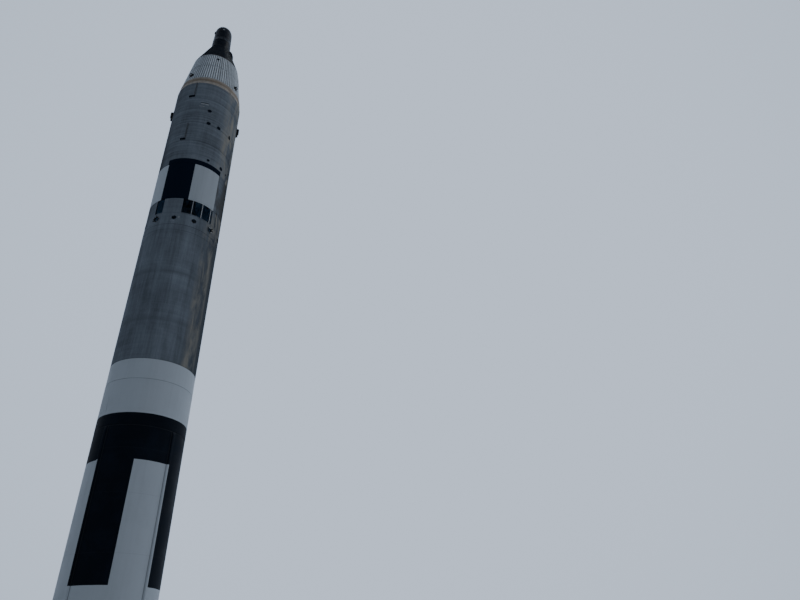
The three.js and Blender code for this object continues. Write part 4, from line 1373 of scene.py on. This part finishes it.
class ROCKET_OT_thrust_chambers(RocketOperator):
    """Bells of lengthwise tubes, with hoops, a manifold and the chamber's dome"""
    bl_idname = "rocket.thrust_chambers"
    bl_label = "Thrust chambers"

    def make(self, context, sizes):
        def bell(share):
            return 0.190 + (0.575 - 0.190) * (1 - (1 - share) ** 1.9)

        def tubes(angles, radius, height):
            return 0.005 * np.abs(np.sin(angles * 60)) if height < -0.25 else 0 * angles

        shares = np.linspace(0, 1, 17)
        outer = [(bell(s) - 0.007, THROAT - BELL_LENGTH * s) for s in shares]
        inner = [(bell(s) - 0.024, THROAT - BELL_LENGTH * s) for s in shares[::-1]]
        head = [(0, 0.236), (0.106, 0.236), (0.118, 0.234), (0.165, 0.219), (0.215, 0.193),
                (0.245, 0.155), (0.262, 0.110), (0.262, 0.060), (0.262, 0.010),
                (0.262, -0.23), (0.235, -0.31), (0.205, -0.38)]
        room = [(0.168, THROAT), (0.205, -0.31), (0.232, -0.23), (0.232, -0.02), (0, -0.02)]
        for side, sign in SIDES:
            centre = (sign * CHAMBER_OFFSET, 0.0)
            at = shift(*centre, 0)
            build = Build()
            build.revolve([*head, *outer, *inner, *room], 480, ripple=tubes, place=at)
            build.revolve([(0.262, 0.010), (0.300, 0.010), (0.304, 0.014), (0.304, 0.033),
                           (0.298, 0.035), (0.304, 0.037), (0.304, 0.056), (0.300, 0.060),
                           (0.262, 0.060), (0.262, 0.010)], 96, place=at)
            bolt_circle(build, at @ shift(0, 0, 0.060), 0.284, 36, 0.009, 0.010)
            for h in (-0.05, -0.16):
                build.revolve([(0.258, h - 0.012), (0.270, h - 0.010), (0.270, h + 0.010),
                               (0.258, h + 0.012), (0.258, h - 0.012)], 96, place=at)
            for share in BELL_HOOPS:
                r, h = bell(share), THROAT - BELL_LENGTH * share
                build.revolve([(r - 0.010, h - 0.017), (r + 0.008, h - 0.017),
                               (r + 0.014, h - 0.012), (r + 0.014, h + 0.012),
                               (r + 0.008, h + 0.017), (r - 0.010, h + 0.017),
                               (r - 0.010, h - 0.017)], 96, place=at)
            build.sweep(round_path(0.5605, THROAT - BELL_LENGTH + 0.024, 96, centre),
                        circle(0.0235, 12), closed=True)
            # The manifold's ring round the throat.
            build.sweep(round_path(0.232, -0.40, 72, centre), circle(0.030, 12), closed=True)
            build.piece("thrust_chamber_tubes_" + side, "engine", body="chamber_" + side,
                        stands_for=["thrust_chamber_" + side], slot="engine_metal", crease=40)


class ROCKET_OT_turbopumps(RocketOperator):
    """Pump bodies with flanges and necks, and their exhaust stacks"""
    bl_idname = "rocket.turbopumps"
    bl_label = "Turbopumps"

    def make(self, context, sizes):
        body = [(0, 0.310), (0.105, 0.310), (0.130, 0.316), (0.150, 0.330), (0.166, 0.355),
                (0.169, 0.385), (0.160, 0.410), (0.148, 0.420), (0.148, 0.440), (0.166, 0.450),
                (0.168, 0.480), (0.150, 0.500), (0.150, 0.540), (0.192, 0.541), (0.198, 0.546),
                (0.198, 0.559), (0.192, 0.560), (0.198, 0.561), (0.198, 0.574), (0.192, 0.579),
                (0.150, 0.580), (0.150, 0.605), (0.160, 0.620), (0.150, 0.645), (0.110, 0.650),
                (0.090, 0.665), (0.090, 0.690)]
        body += [point for z in (0.690, 0.708, 0.726)
                 for point in ((0.088, z), (0.104, z + 0.009), (0.088, z + 0.018))]
        body += [(0.090, 0.750), (0.104, 0.752), (0.104, 0.768), (0.090, 0.770), (0.090, 0.798),
                 (0, 0.798)]
        half = [(0.134, 0.281), (0.134, 0.268), (0.128, 0.265), (0.134, 0.262), (0.134, 0.249),
                (0.106, 0.246), (0.106, 0.215), (0.096, 0.205), (0.096, 0.150), (0.109, 0.140),
                (0.109, 0.100), (0.096, 0.090)]
        cross = [(0, -0.2825), (0.128, -0.2825), *[(r, -x) for r, x in half],
                 *[(r, x) for r, x in reversed(half)], (0.128, 0.2825), (0, 0.2825)]
        stack_profile = [
            (0, 0.3096), (0.090, 0.3096), (0.0945, 0.305), (0.0945, 0.285), (0.088, 0.282),
            (0.088, 0.02), (0.0945, 0.015), (0.0945, -0.015), (0.088, -0.02), (0.088, -0.30),
            (0.0935, -0.305), (0.0935, -0.325), (0.088, -0.33), (0.088, -0.50), (0.095, -0.54),
            (0.112, -0.62), (0.131, -0.71), (0.147, -0.786), (0.1495, -0.794), (0.146, -0.7995),
            (0.138, -0.7995), (0.131, -0.76), (0.112, -0.665), (0.090, -0.56), (0.0835, -0.50),
            (0.0835, 0.230), (0, 0.230)]
        for place, sign in (("front", -1), ("rear", 1)):
            y = sign * PUMP_OFFSET
            pump = Build()
            at = shift(0, y, 0)
            pump.revolve(body, 96, place=at)
            along = axes(Y, Z, X, (0, y, 0.56))
            pump.revolve(cross, 72, place=along)
            bolt_circle(pump, at @ shift(0, 0, 0.579), 0.178, 24, 0.007, 0.008)
            for end in (-1, 1):
                turn = FLIPPED if end > 0 else Matrix()
                bolt_circle(pump, along @ shift(0, 0, 0.249 * end) @ turn, 0.121, 16, 0.006, 0.007)
            near, far = sorted((sign * 0.0904, sign * 0.30))
            for z in (0.503, 0.586):
                pump.box((-0.060, near, z), (0.060, far, z + 0.012))
            for x in (-0.052, 0.040):
                pump.box((x, near, 0.505), (x + 0.012, far, 0.595))
            pump.piece("turbopump_body_" + place, "engine",
                       stands_for=["turbopump_" + place], slot="engine_metal", crease=30)

            stack = Build().revolve(stack_profile, 72, place=at)
            bolt_circle(stack, at @ shift(0, 0, 0.285) @ FLIPPED, 0.0915, 12, 0.003, 0.006)
            stack.piece("exhaust_stack_pipe_" + place, "stack",
                        stands_for=["exhaust_stack_" + place], slot="dark_steel")


class ROCKET_OT_adapter(RocketOperator):
    """The tan mating ring and the ribbed white adapter with its fittings"""
    bl_idname = "rocket.adapter"
    bl_label = "Adapter"

    def make(self, context, sizes):
        n = sizes.facets
        low, high = FORWARD_TOP, ADAPTER_BASE
        ring = Build().revolve([
            (0, low + HAIR), (1.514, low + HAIR), (1.514, low + 0.004), (1.522, low + 0.010),
            (1.516, low + 0.05), (1.512, low + 0.055), (1.494, low + 0.20), (1.498, low + 0.205),
            (1.480, high - 0.125), (1.472, high - 0.12), (1.468, high - 0.045),
            (1.470, high - 0.040), (1.468, high - 0.0008), (0, high - 0.0006)], n)
        rivet_rings(ring, (low + 0.03, high - 0.08), 0.05, (0.009, 0.004))
        ring.piece("mating_ring_skin", "tan", stands_for=["mating_ring"], slot="primer")

        def ripple(angles, radius, height):
            wave = np.cos(angles * sizes.ribs)
            return sizes.rib_height * (np.clip(wave * 1.4, -0.6, 0.8) - 0.8)

        for node in ("equipment_section", "retrograde_section"):
            low, high = bottom(node), top(node)
            rings = []
            for share in np.linspace(0, 1, 7):
                h = low + 0.012 + (high - low - 0.024) * share
                rings.append((wall_radius(h) - 0.001, h))
            build = Build().revolve(
                [(0, low + HAIR), (wall_radius(low + 0.001) - 0.012, low + HAIR), *rings,
                 (wall_radius(high) - 0.012, high - 0.0005), (0, high - 0.0005)],
                sizes.ribs * 8, ripple=ripple)
            build.piece(node + "_ribs", "ribbed", stands_for=[node], slot="ribbed_white", crease=50)
        bands = Build()
        slope = 0.148 * 0.02
        for h in ADAPTER_BANDS:
            r = wall_radius(h)
            bands.revolve([(r + slope - 0.014, h - 0.02), (r + slope, h - 0.02),
                           (r - slope, h + 0.02), (r - slope - 0.014, h + 0.02),
                           (r + slope - 0.014, h - 0.02)], n)
        rivet_rings(bands, ADAPTER_BANDS, 0.08, (0.008, 0.003))
        bands.piece("adapter_bands", "band", slot="ribbed_white")

        tilt = Matrix.Rotation(math.atan(0.15), 4, "X")
        housings, nozzles = Build(), Build()
        wall = wall_radius(FITTING_HEIGHT)
        for azimuth in ADAPTER_FITTINGS:
            at = wall_frame(azimuth, FITTING_HEIGHT, radius=wall) @ tilt
            housings.revolve([(0, -0.03), (0.086, -0.03), (0.0895, -0.02), (0.0895, 0.058),
                              (0.085, 0.068), (0.068, 0.0685), (0.062, 0.062), (0.062, 0.036),
                              (0, 0.036)], 48, place=at)
            nozzles.revolve([(0, 0.034), (0.020, 0.034), (0.030, 0.048), (0.046, 0.064),
                             (0.050, 0.063), (0.034, 0.044), (0.026, 0.036), (0, 0.036)], 36,
                            place=at @ shift(0, 0, 0.002))
            wall_plate(housings, azimuth, FITTING_HEIGHT - 0.02, 0.23, 0.21, 0.008, 0.03)
        housings.piece("thruster_housings", "dark", stands_for=[
            "attitude_thruster_%d" % i for i in range(1, 5)], slot="dark_steel")
        nozzles.piece("thruster_nozzles", "bright", slot="engine_metal")

        port = Build()
        port.revolve([(0, -0.01), (0.068, -0.01), (0.068, 0.006), (0.05, 0.010), (0, 0.010)], 24,
                     place=wall_frame(1.6, 27.70))
        # The port is near-black as painted shade inside it.
        port.piece("adapter_port", "shade_black", slot="dark_steel")
        strip = Build()
        wall_plate(strip, 80, 27.52, 0.24, 0.46, 0.012, 0.012)
        strip.piece("adapter_strip", "rusty", slot="primer")

        shield = Build().revolve([
            (0, CABIN_BASE + HAIR), (1.128, CABIN_BASE + HAIR), (1.139, CABIN_BASE + 0.006),
            (1.136, CABIN_BASE + 0.030), (1.118, CABIN_LOW - 0.010), (1.112, CABIN_LOW - 0.0006),
            (0, CABIN_LOW - 0.0006)], n)
        shield.piece("heat_shield_edge", "char", stands_for=["heat_shield"], slot="heat_shield")


def hatch_span(sign, inner, outer):
    return tuple(sorted((180 + sign * inner, 180 + sign * outer)))


def knuckle_frames(sign):
    """The middles of a hinge's knuckles: X towards the hatch, Y outward and Z up the line."""
    middle = (HATCH_LOW + HATCH_HIGH) / 2
    at = wall_frame(180 + sign * HINGE_AZIMUTH, middle, HINGE_STANDOFF)
    across, up, normal = (at.col[i].to_3d() for i in range(3))
    at = axes(across * -sign, normal, up, at.translation)
    return [at @ shift(0, 0, pitch) for pitch in (-KNUCKLE_PITCH, KNUCKLE_PITCH)]


def window_outline(inset):
    """Flat along the top and round below, in the (across, up) plane of the window."""
    r = 0.120 - inset
    return [(-r, 0.100 - inset)] + [(r * math.cos(a), 0.070 + r * math.sin(a))
                                    for a in np.linspace(-math.pi, 0, 17)] + [(r, 0.100 - inset)]


def cone_band(build, height, rise, arc, count):
    """A flat band round the cabin's cone."""
    half_tall = 0.012
    r, drop = wall_radius(height), 0.371 * half_tall
    low, high = height - half_tall, height + half_tall
    build.revolve([(r + drop - 0.004, low), (r + drop + rise, low), (r - drop + rise, high),
                   (r - drop - 0.004, high), (r + drop - 0.004, low)], count, arc=arc)


def cabin_bead(build, azimuth, low, high, count, rise=0.012):
    """A bead of the cabin, of which count go round it."""
    width = 0.62 * math.radians(360 / count) * wall_radius((low + high) / 2)
    bead(build, azimuth, low, high, width, rise)


class ROCKET_OT_cabin(RocketOperator):
    """The beaded cabin wall, with its bands and the cover on its right side"""
    bl_idname = "rocket.cabin"
    bl_label = "Cabin"

    def make(self, context, sizes):
        bulkhead = CABIN_NECK - 0.09
        inner_low = wall_radius(CABIN_LOW) - CABIN_WALL
        inner_high = wall_radius(bulkhead) - CABIN_WALL
        shell = Build().revolve([
            (inner_low, CABIN_LOW + HAIR),
            *[(wall_radius(h) - 0.0005, h) for h in np.linspace(CABIN_LOW + HAIR, 29.796, 9)],
            (0.486, CABIN_NECK - 0.0005), (0, CABIN_NECK - 0.0005), (0, bulkhead),
            (inner_high, bulkhead), (inner_low, CABIN_LOW + HAIR)], sizes.facets)
        wall = shell.piece("cabin_wall", "black", stands_for=["cabin_shell"], slot="black_paint")
        holes = Build()
        low, high = HATCH_LOW - 0.008, HATCH_HIGH + 0.028
        for _, sign in HATCHES:
            holes.revolve(square_ring(0.30, 1.30, low, high), 24,
                          arc=hatch_span(sign, HATCH_EDGES[0] - 0.6, HATCH_EDGES[1] + 0.6))
        cut(wall, holes.form("cutter", "inside"))
        refinish(wall, "inside", inside_wall(0.055))

        beads = Build()
        for azimuth in np.arange(0, 360, 360 / sizes.beads):
            for low, high in ((28.14, 28.30), (28.345, 28.86), (28.90, 29.44), (29.52, 29.77)):
                if 131.5 < azimuth < 228.5 and 28.34 < low < 29.0:
                    continue
                if abs(azimuth - SENSOR_AZIMUTH) < 9 and high > 29.1:
                    continue
                cabin_bead(beads, azimuth, low, high, sizes.beads)
        beads.piece("cabin_beads", "black", slot="black_paint")

        bands = Build()
        beside_hatches = (228.5, 360 + 131.5)
        for height, arc in ((28.32, (0, 360)), *[(h, beside_hatches) for h in CABIN_BANDS]):
            cone_band(bands, height, 0.004, arc, sizes.facets)
        bands.copies(*dome_form(0.006, 0.004), [
            wall_frame(a, h, 0.004) for h in CABIN_BANDS for a in np.arange(-130, 131, 4)])
        bands.piece("cabin_bands", "black", slot="black_paint")

        knuckles = Build()
        for _, sign in HATCHES:
            for at in knuckle_frames(sign):
                knuckles.revolve([(0, -0.099), (0.0078, -0.099), (0.0078, 0.099), (0, 0.099)], 20,
                                 place=at)
                for end in (-0.074, 0.074):
                    there = at @ shift(0, 0, end)
                    knuckles.drilled(circle(KNUCKLE_RADIUS - 0.0003, 24), circle(0.0076, 24),
                                     -0.0237, 0.0237, there)
                    knuckles.box((-0.079, -0.048, -0.0237), (-0.010, -0.006, 0.0237), there)
        knuckles.piece("cabin_hinge_halves", "dark", slot="black_paint")

        # height, rise out of the cone, share of the full width
        stations = ((29.025, 0.004, 0.45), (29.10, 0.030, 0.70), (29.20, 0.064, 0.88),
                    (29.32, 0.100, 1.0), (29.45, 0.116, 1.0), (29.58, 0.124, 0.95),
                    (29.66, 0.112, 0.88), (29.72, 0.088, 0.75), (29.785, 0.020, 0.50))
        half, sections = 0.098, []
        for height, rise, share in stations:
            out, side = outward(SENSOR_AZIMUTH), outward(SENSOR_AZIMUTH + 90)
            radius = wall_radius(height)
            base = out * radius + Z * height
            row = []
            for s in np.linspace(-1, 1, 15):
                x = half * share * s
                lift = rise * math.sqrt(max(0.0, 1 - abs(s) ** 2.6))
                drop = radius - math.sqrt(radius ** 2 - x * x) + 0.004
                row.append(base + side * x + out * (lift - drop))
            row += [base - side * (half * share * s) - out * 0.035 for s in (-0.8, 0.0, 0.8)]
            sections.append(row)
        cover = Build().loft(sections)
        cover.piece("sensor_cover", "nose", stands_for=["sensor_fairing"], slot="black_paint")


class ROCKET_OT_hatches(RocketOperator):
    """The two beaded hatches with their hinge knuckles, edge frames and windows"""
    bl_idname = "rocket.hatches"
    bl_label = "Hatches"

    def make(self, context, sizes):
        for side, sign in HATCHES:
            body = "hatch_" + side
            arc = hatch_span(sign, *HATCH_EDGES)
            latch = 180 + sign * LATCH_AZIMUTH
            window_azimuth = 180 + sign * WINDOW_AZIMUTH
            window = wall_frame(window_azimuth, WINDOW_HEIGHT)
            self.panel(side, sign, arc, window)
            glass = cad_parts["window_" + side].data.materials
            glass.clear()
            glass.append(finish("glass"))

            trim = Build()
            trim.drilled(window_outline(-0.022), window_outline(0.003), -0.014, 0.008, window)
            trim.copies(*bolt_form(0.005, 0.003), [
                window @ shift(x, y, 0.008)
                for x, y in window_outline(-0.010)[1:-1:2]])
            low, high = HATCH_LOW, HATCH_HIGH
            for height in (low + 0.02, high - 0.02):
                cone_band(trim, height, 0.005, (arc[0] + 0.4, arc[1] - 0.4), 30)
            for azimuth in (arc[0] + 1.5, arc[1] - 1.5):
                bead(trim, azimuth, low + 0.034, high - 0.034, 0.030, 0.006)
                trim.copies(*bolt_form(0.006, 0.004), [
                    wall_frame(azimuth, h, 0.002) for h in np.linspace(low + 0.08, high - 0.08, 9)])
            wall_plate(trim, latch, 28.78, 0.16, 0.09, 0.014, 0.012)
            trim.piece("hatch_trim_" + side, "dark", body=body, slot="dark_steel", crease=30)

            ribs = Build()
            for azimuth in np.arange(0, 360, 360 / sizes.beads):
                if not arc[0] + 3.4 < azimuth < arc[1] - 3.4:
                    continue
                by_window = abs(azimuth - window_azimuth) < 13
                by_latch = abs(azimuth - latch) < 6
                rows = [(28.37, 28.72 if by_latch else 28.82),
                        (28.86, 28.96 if by_window else 29.44)]
                if by_window:
                    rows.append((29.27, 29.44))
                for start, end in rows:
                    cabin_bead(ribs, azimuth, start, end, sizes.beads, 0.010)
            ribs.piece("hatch_beads_" + side, "black", body=body, slot="black_paint")

    def panel(self, side, sign, arc, window):
        outer = [(wall_radius(h) - 0.0005, h) for h in np.linspace(HATCH_LOW, HATCH_HIGH, 7)]
        inner = [(wall_radius(h) - CABIN_WALL, h) for h in (HATCH_HIGH, HATCH_LOW)]
        panel = Build().revolve([*outer, *inner, outer[0]], 40, arc=arc)
        for at in knuckle_frames(sign):
            panel.drilled(circle(KNUCKLE_RADIUS - 0.0003, 24), circle(0.0092, 24), -0.0447,
                          0.0447, at)
            panel.box((0.010, -0.019, -0.044), (0.030, -0.006, 0.044), at)
            panel.box((0.026, -0.050, -0.044), (0.079, -0.006, 0.044), at)
        plate = panel.piece("hatch_panel_" + side, "black", body="hatch_" + side,
                            stands_for=["hatch_" + side], slot="black_paint")
        hole = Build().prism(window_outline(0.0), -0.14, 0.08, window)
        # The cut faces take the near-black painted shade inside the window.
        cut(plate, hole.form("cutter", "shade_black"))
        refinish(plate, "inside", inside_wall(0.055))


def cushion(build, width, length, thick, place, channels):
    """A stuffed pad on its middle plane: crowned faces, sides that pull in, and sewn channels."""
    def at(u, v, face):
        pull = 0.05
        x = 0.5 * width * u * (1 - pull * (1 - v * v) * abs(u) ** 3)
        y = 0.5 * length * v * (1 - pull * (1 - u * u) * abs(v) ** 3)
        full = (1 - abs(u) ** 5) * (1 - abs(v) ** 5)
        for c in range(channels):
            middle = -1 + 2 * (c + 1) / (channels + 1)
            full -= 0.30 * math.exp(-((v - middle) / 0.035) ** 2) * (1 - u ** 8)
        return x, y, face * 0.5 * thick * (0.30 + 0.70 * max(0.0, full))

    grid = (18, 36)
    us = [math.sin(0.5 * math.pi * s) * 0.35 + 0.65 * s for s in np.linspace(-1, 1, grid[0])]
    vs = np.linspace(-1, 1, grid[1])
    faces, points = [], []
    for side in (-1, 1):
        faces += grid_faces(len(points), *grid, side < 0)
        points += [at(u, v, side) for v in vs for u in us]
    rim = grid_rim(0, *grid)
    upper = grid[0] * grid[1]
    for a, b in zip(rim, rim[1:] + rim[:1]):
        faces.append((a, b, upper + b, upper + a))
    build.add(points, faces, place)
    border = [place @ Vector((points[i][0], points[i][1], 0)) for i in rim[::2]]
    build.sweep(border, circle(0.006, 8), closed=True)


class ROCKET_OT_crew_seats(RocketOperator):
    """Two couches on their floor, each a shell with stuffed pads and straps"""
    bl_idname = "rocket.crew_seats"
    bl_label = "Crew seats"

    def make(self, context, sizes):
        shell = Build()
        shell.revolve([(0, CABIN_LOW + HAIR), (1.030, CABIN_LOW + HAIR),
                       (1.034, CABIN_LOW + 0.006), (1.030, 28.140), (1.020, 28.1446),
                       (0, 28.1446)], 96)
        shell.box((-0.040, -0.300, 28.140), (0.040, 0.300, 28.398))
        shell.box((-0.034, -0.240, 28.392), (0.034, 0.200, 28.3995))
        for _, sign in SIDES:
            at = shift(SEAT_OFFSET * sign, 0, 0)
            shell.box((-0.205, -0.255, 28.140), (0.205, 0.418, 28.165), at)
            shell.box((-0.205, -0.339, 28.140), (0.205, -0.325, 28.675), at)
            for edge in (-0.205, 0.190):
                shell.box((edge, -0.255, 28.160), (edge + 0.015, 0.415, 28.215), at)
                shell.box((edge, -0.338, 28.140), (edge + 0.015, -0.275, 28.660), at)
            shell.box((-0.095, 0.420, 28.140), (0.095, 0.555, 28.240), at)
        shell.piece("couch_shells", "shell", stands_for=["crew_seats"], slot="fabric", bevel=0.004)
        lying, standing = axes(X, Y, Z), axes(X, Z, -Y)
        # name, turn, middle, width, length, thickness, channels
        pads = (
            ("back_pad", lying, (0.082, 28.2125), 0.375, 0.660, 0.092, 5),
            ("seat_pad", standing, (-0.2925, 28.415), 0.375, 0.500, 0.062, 3),
            ("head_pad", lying, (0.488, 28.284), 0.190, 0.128, 0.088, 0),
        )
        for side, sign in SIDES:
            x = SEAT_OFFSET * sign
            for name, turn, middle, width, length, thick, channels in pads:
                pad = Build()
                cushion(pad, width, length, thick, shift(x, *middle) @ turn, channels)
                made = pad.piece("%s_%s" % (name, side), "cloth", slot="fabric", crease=70)
                smooth = made.modifiers.new("smooth", "SUBSURF")
                smooth.levels = smooth.render_levels = 1
            straps = Build()
            for across in (-0.075, 0.075):
                straps.sweep([(x + across, y, z) for y, z in (
                    (0.43, 28.262), (0.36, 28.264), (0.20, 28.264), (0.05, 28.264),
                    (-0.10, 28.264), (-0.20, 28.262))],
                    [(-0.022, -0.0015), (0.022, -0.0015), (0.022, 0.0015), (-0.022, 0.0015)])
            straps.box((x - 0.035, -0.02, 28.264), (x + 0.035, 0.05, 28.276))
            straps.box((x - 0.180, -0.03, 28.2635), (x + 0.180, 0.015, 28.267))
            straps.piece("harness_" + side, "strap", slot="fabric")


class ROCKET_OT_nose(RocketOperator):
    """Thruster section, nose section and cap"""
    bl_idname = "rocket.nose"
    bl_label = "Nose"

    def make(self, context, sizes):
        n = 96
        thrusters = Build().revolve(barrel_profile(29.80, 30.25, 0.483, groove=0.005), n)
        nozzles = Build()
        for azimuth in np.arange(22.5, 360, 45):
            at = wall_frame(azimuth, 30.03, radius=0.483)
            thrusters.copies(*ring_form(0.030, 0.042, 0.0015, 20), [at])
            nozzles.revolve([(0, 0.0), (0.030, 0.0), (0.030, 0.001), (0.014, 0.0005), (0, 0.0005)],
                            20, place=wall_frame(azimuth, 30.03, radius=0.4835))
        thrusters.copies(*dome_form(0.010, 0.0015), [
            wall_frame(azimuth, h, radius=0.483)
            for azimuth in range(0, 360, 15) for h in (29.84, 30.21)])
        thrusters.piece("thruster_section_skin", "nose",
                        stands_for=["thruster_section"], slot="black_paint")
        # The thrusters' mouths are near-black as painted shade inside them.
        nozzles.piece("nose_thrusters", "shade_black", slot="dark_steel")
        nose = Build().revolve([
            (0, 30.2504), (0.474, 30.2504), (0.479, 30.256), (0.479, 30.30), (0.476, 30.304),
            (0.464, 30.60), (0.467, 30.604), (0.450, 30.95), (0.453, 30.954), (0.440, 31.25),
            (0.424, 31.34), (0.406, 31.392), (0.402, 31.3994), (0, 31.3994)], n)
        nose.copies(*dome_form(0.012, 0.005), [
            wall_frame(azimuth, h)
            for azimuth in range(0, 360, 15) for h in (30.33, 30.55, 30.65, 30.90, 31.00, 31.20)])
        for azimuth in np.arange(7.5, 360, 30):
            bead(nose, azimuth, 30.36, 30.56, 0.035, 0.006)
            bead(nose, azimuth, 30.66, 30.90, 0.035, 0.006)
        at = wall_frame(-80, 31.13, radius=0.440)
        nose.box((-0.050, -0.055, -0.06), (0.050, 0.055, 0.040), at)
        nose.box((-0.040, -0.045, 0.038), (0.040, 0.045, 0.0455), at)
        nose.piece("nose_section_skin", "nose", stands_for=["nose_section"], slot="black_paint")
        cap = Build().revolve([
            (0, 31.4004), (0.396, 31.4004), (0.401, 31.405), (0.392, 31.44), (0.375, 31.47),
            (0.355, 31.507), (0.330, 31.54), (0.290, 31.575), (0.245, 31.607), (0.200, 31.635),
            (0.145, 31.655), (0.090, 31.672), (0.045, 31.679), (0, 31.680)], n)
        cap.piece("nose_cap_skin", "cap", stands_for=["nose_cap"], slot="black_paint")
        patch = Build()
        wall_plate(patch, -3, 31.16, 0.10, 0.09, 0.004, 0.012)
        patch.piece("nose_patch", "bright", slot="bare_metal")


class ROCKET_OT_stage_set(RocketOperator):
    """The pale floor, the soft lights and the camera"""
    bl_idname = "rocket.stage_set"
    bl_label = "Floor, lights and camera"

    def make(self, context, sizes):
        scene = context.scene
        reach, level = 400.0, FLOOR_LEVEL
        mesh = bpy.data.meshes.new("floor")
        mesh.from_pydata([(-reach, -reach, level), (reach, -reach, level), (reach, reach, level),
                          (-reach, reach, level)], [], [(0, 1, 2, 3)])
        floor = bpy.data.objects.new("floor", mesh)
        scene.collection.objects.link(floor)
        surface = Finish("floor_paint", Roughness=0.9)
        base = tuple(scene.rocket_colours.floor)
        surface.feed("Base Color", surface.blend(base, scaled(base, 0.95), surface.noise(0.3, 3.0)))
        mesh.materials.append(surface.material)

        # The surrounding light is dim at the camera's back and bright behind the rocket.
        world = bpy.data.worlds.new("surround")
        world.use_nodes = True
        round_about = Nodes(world.node_tree)
        bright_side = Vector((0.32, 0.80, 0.51)).normalized()
        direction = round_about.node("ShaderNodeTexCoord").outputs["Generated"]
        turn = Wire(round_about, round_about.node(
            "ShaderNodeVectorMath", {"operation": "DOT_PRODUCT"},
            {0: direction, 1: tuple(bright_side)}).outputs["Value"])
        colour = round_about.blend((0.125, 0.142, 0.168), (0.66, 0.77, 0.95),
                                   turn.spread(-0.10, 0.95, smooth=True))
        glow = round_about.node("ShaderNodeBackground", {}, {"Color": colour, "Strength": 1.0})
        round_about.node("ShaderNodeOutputWorld", {}, {"Surface": glow.outputs[0]})
        scene.world = world

        # name, place, target, size, power, colour
        lights = (
            ("key_right", (36, -15, 64), (0, 0, 24), 24, 3200, (1.0, 0.95, 0.88)),
            ("fill_front", (-18, -44, 26), (0, 0, 14), 30, 300, (0.92, 0.96, 1.0)),
        )
        for name, place, target, size, power, tint in lights:
            data = bpy.data.lights.new(name, "AREA")
            data.shape = "DISK"
            data.size = size
            data.energy = power
            data.color = tint
            lamp = bpy.data.objects.new(name, data)
            lamp.location = place
            lamp.rotation_mode = "QUATERNION"
            aim = Vector(target) - Vector(place)
            lamp.rotation_quaternion = aim.to_track_quat("-Z", "Y")
            lamp.visible_camera = False
            scene.collection.objects.link(lamp)

        data = bpy.data.cameras.new("camera")
        data.sensor_width = 36
        data.lens = CAMERA_LENS
        data.clip_end = 1000
        camera = bpy.data.objects.new("camera", data)
        pitch, roll, heading = map(math.radians, CAMERA_ANGLES)
        ahead = Vector((math.sin(heading), math.cos(heading), 0))
        level_right = Vector((math.cos(heading), -math.sin(heading), 0))
        forward = ahead * math.cos(pitch) + Z * math.sin(pitch)
        level_up = level_right.cross(forward)
        right = level_right * math.cos(roll) + level_up * math.sin(roll)
        up = level_up * math.cos(roll) - level_right * math.sin(roll)
        camera.matrix_world = axes(right, up, -forward, CAMERA_PLACE)
        scene.collection.objects.link(camera)
        scene.camera = camera


OPERATORS = (
    ROCKET_OT_stage_set, ROCKET_OT_first_stage, ROCKET_OT_raceways, ROCKET_OT_interstage,
    ROCKET_OT_second_stage, ROCKET_OT_wall_fittings, ROCKET_OT_thrust_frame, ROCKET_OT_gimbals,
    ROCKET_OT_thrust_chambers, ROCKET_OT_turbopumps, ROCKET_OT_adapter, ROCKET_OT_cabin,
    ROCKET_OT_hatches, ROCKET_OT_crew_seats, ROCKET_OT_nose,
)


class ROCKET_PT_panel(bpy.types.Panel):
    """Lists the rocket's operators, sizes and colours"""
    bl_idname = "ROCKET_PT_panel"
    bl_label = "Rocket"
    bl_space_type = "VIEW_3D"
    bl_region_type = "UI"
    bl_category = "Rocket"

    def draw(self, context):
        for group in (context.scene.rocket_sizes, context.scene.rocket_colours):
            for key in group.__annotations__:
                self.layout.prop(group, key)
        for operator in OPERATORS:
            self.layout.operator(operator.bl_idname)


CLASSES = (RocketSizes, RocketColours, *OPERATORS, ROCKET_PT_panel)


def register():
    for item in CLASSES:
        bpy.utils.register_class(item)
    bpy.types.Scene.rocket_sizes = bpy.props.PointerProperty(type=RocketSizes)
    bpy.types.Scene.rocket_colours = bpy.props.PointerProperty(type=RocketColours)


def unregister():
    del bpy.types.Scene.rocket_colours
    del bpy.types.Scene.rocket_sizes
    for item in reversed(CLASSES):
        bpy.utils.unregister_class(item)


def main():
    register()
    for operator in OPERATORS:
        getattr(bpy.ops.rocket, operator.bl_idname.split(".")[1])()


if __name__ == "__main__":
    main()
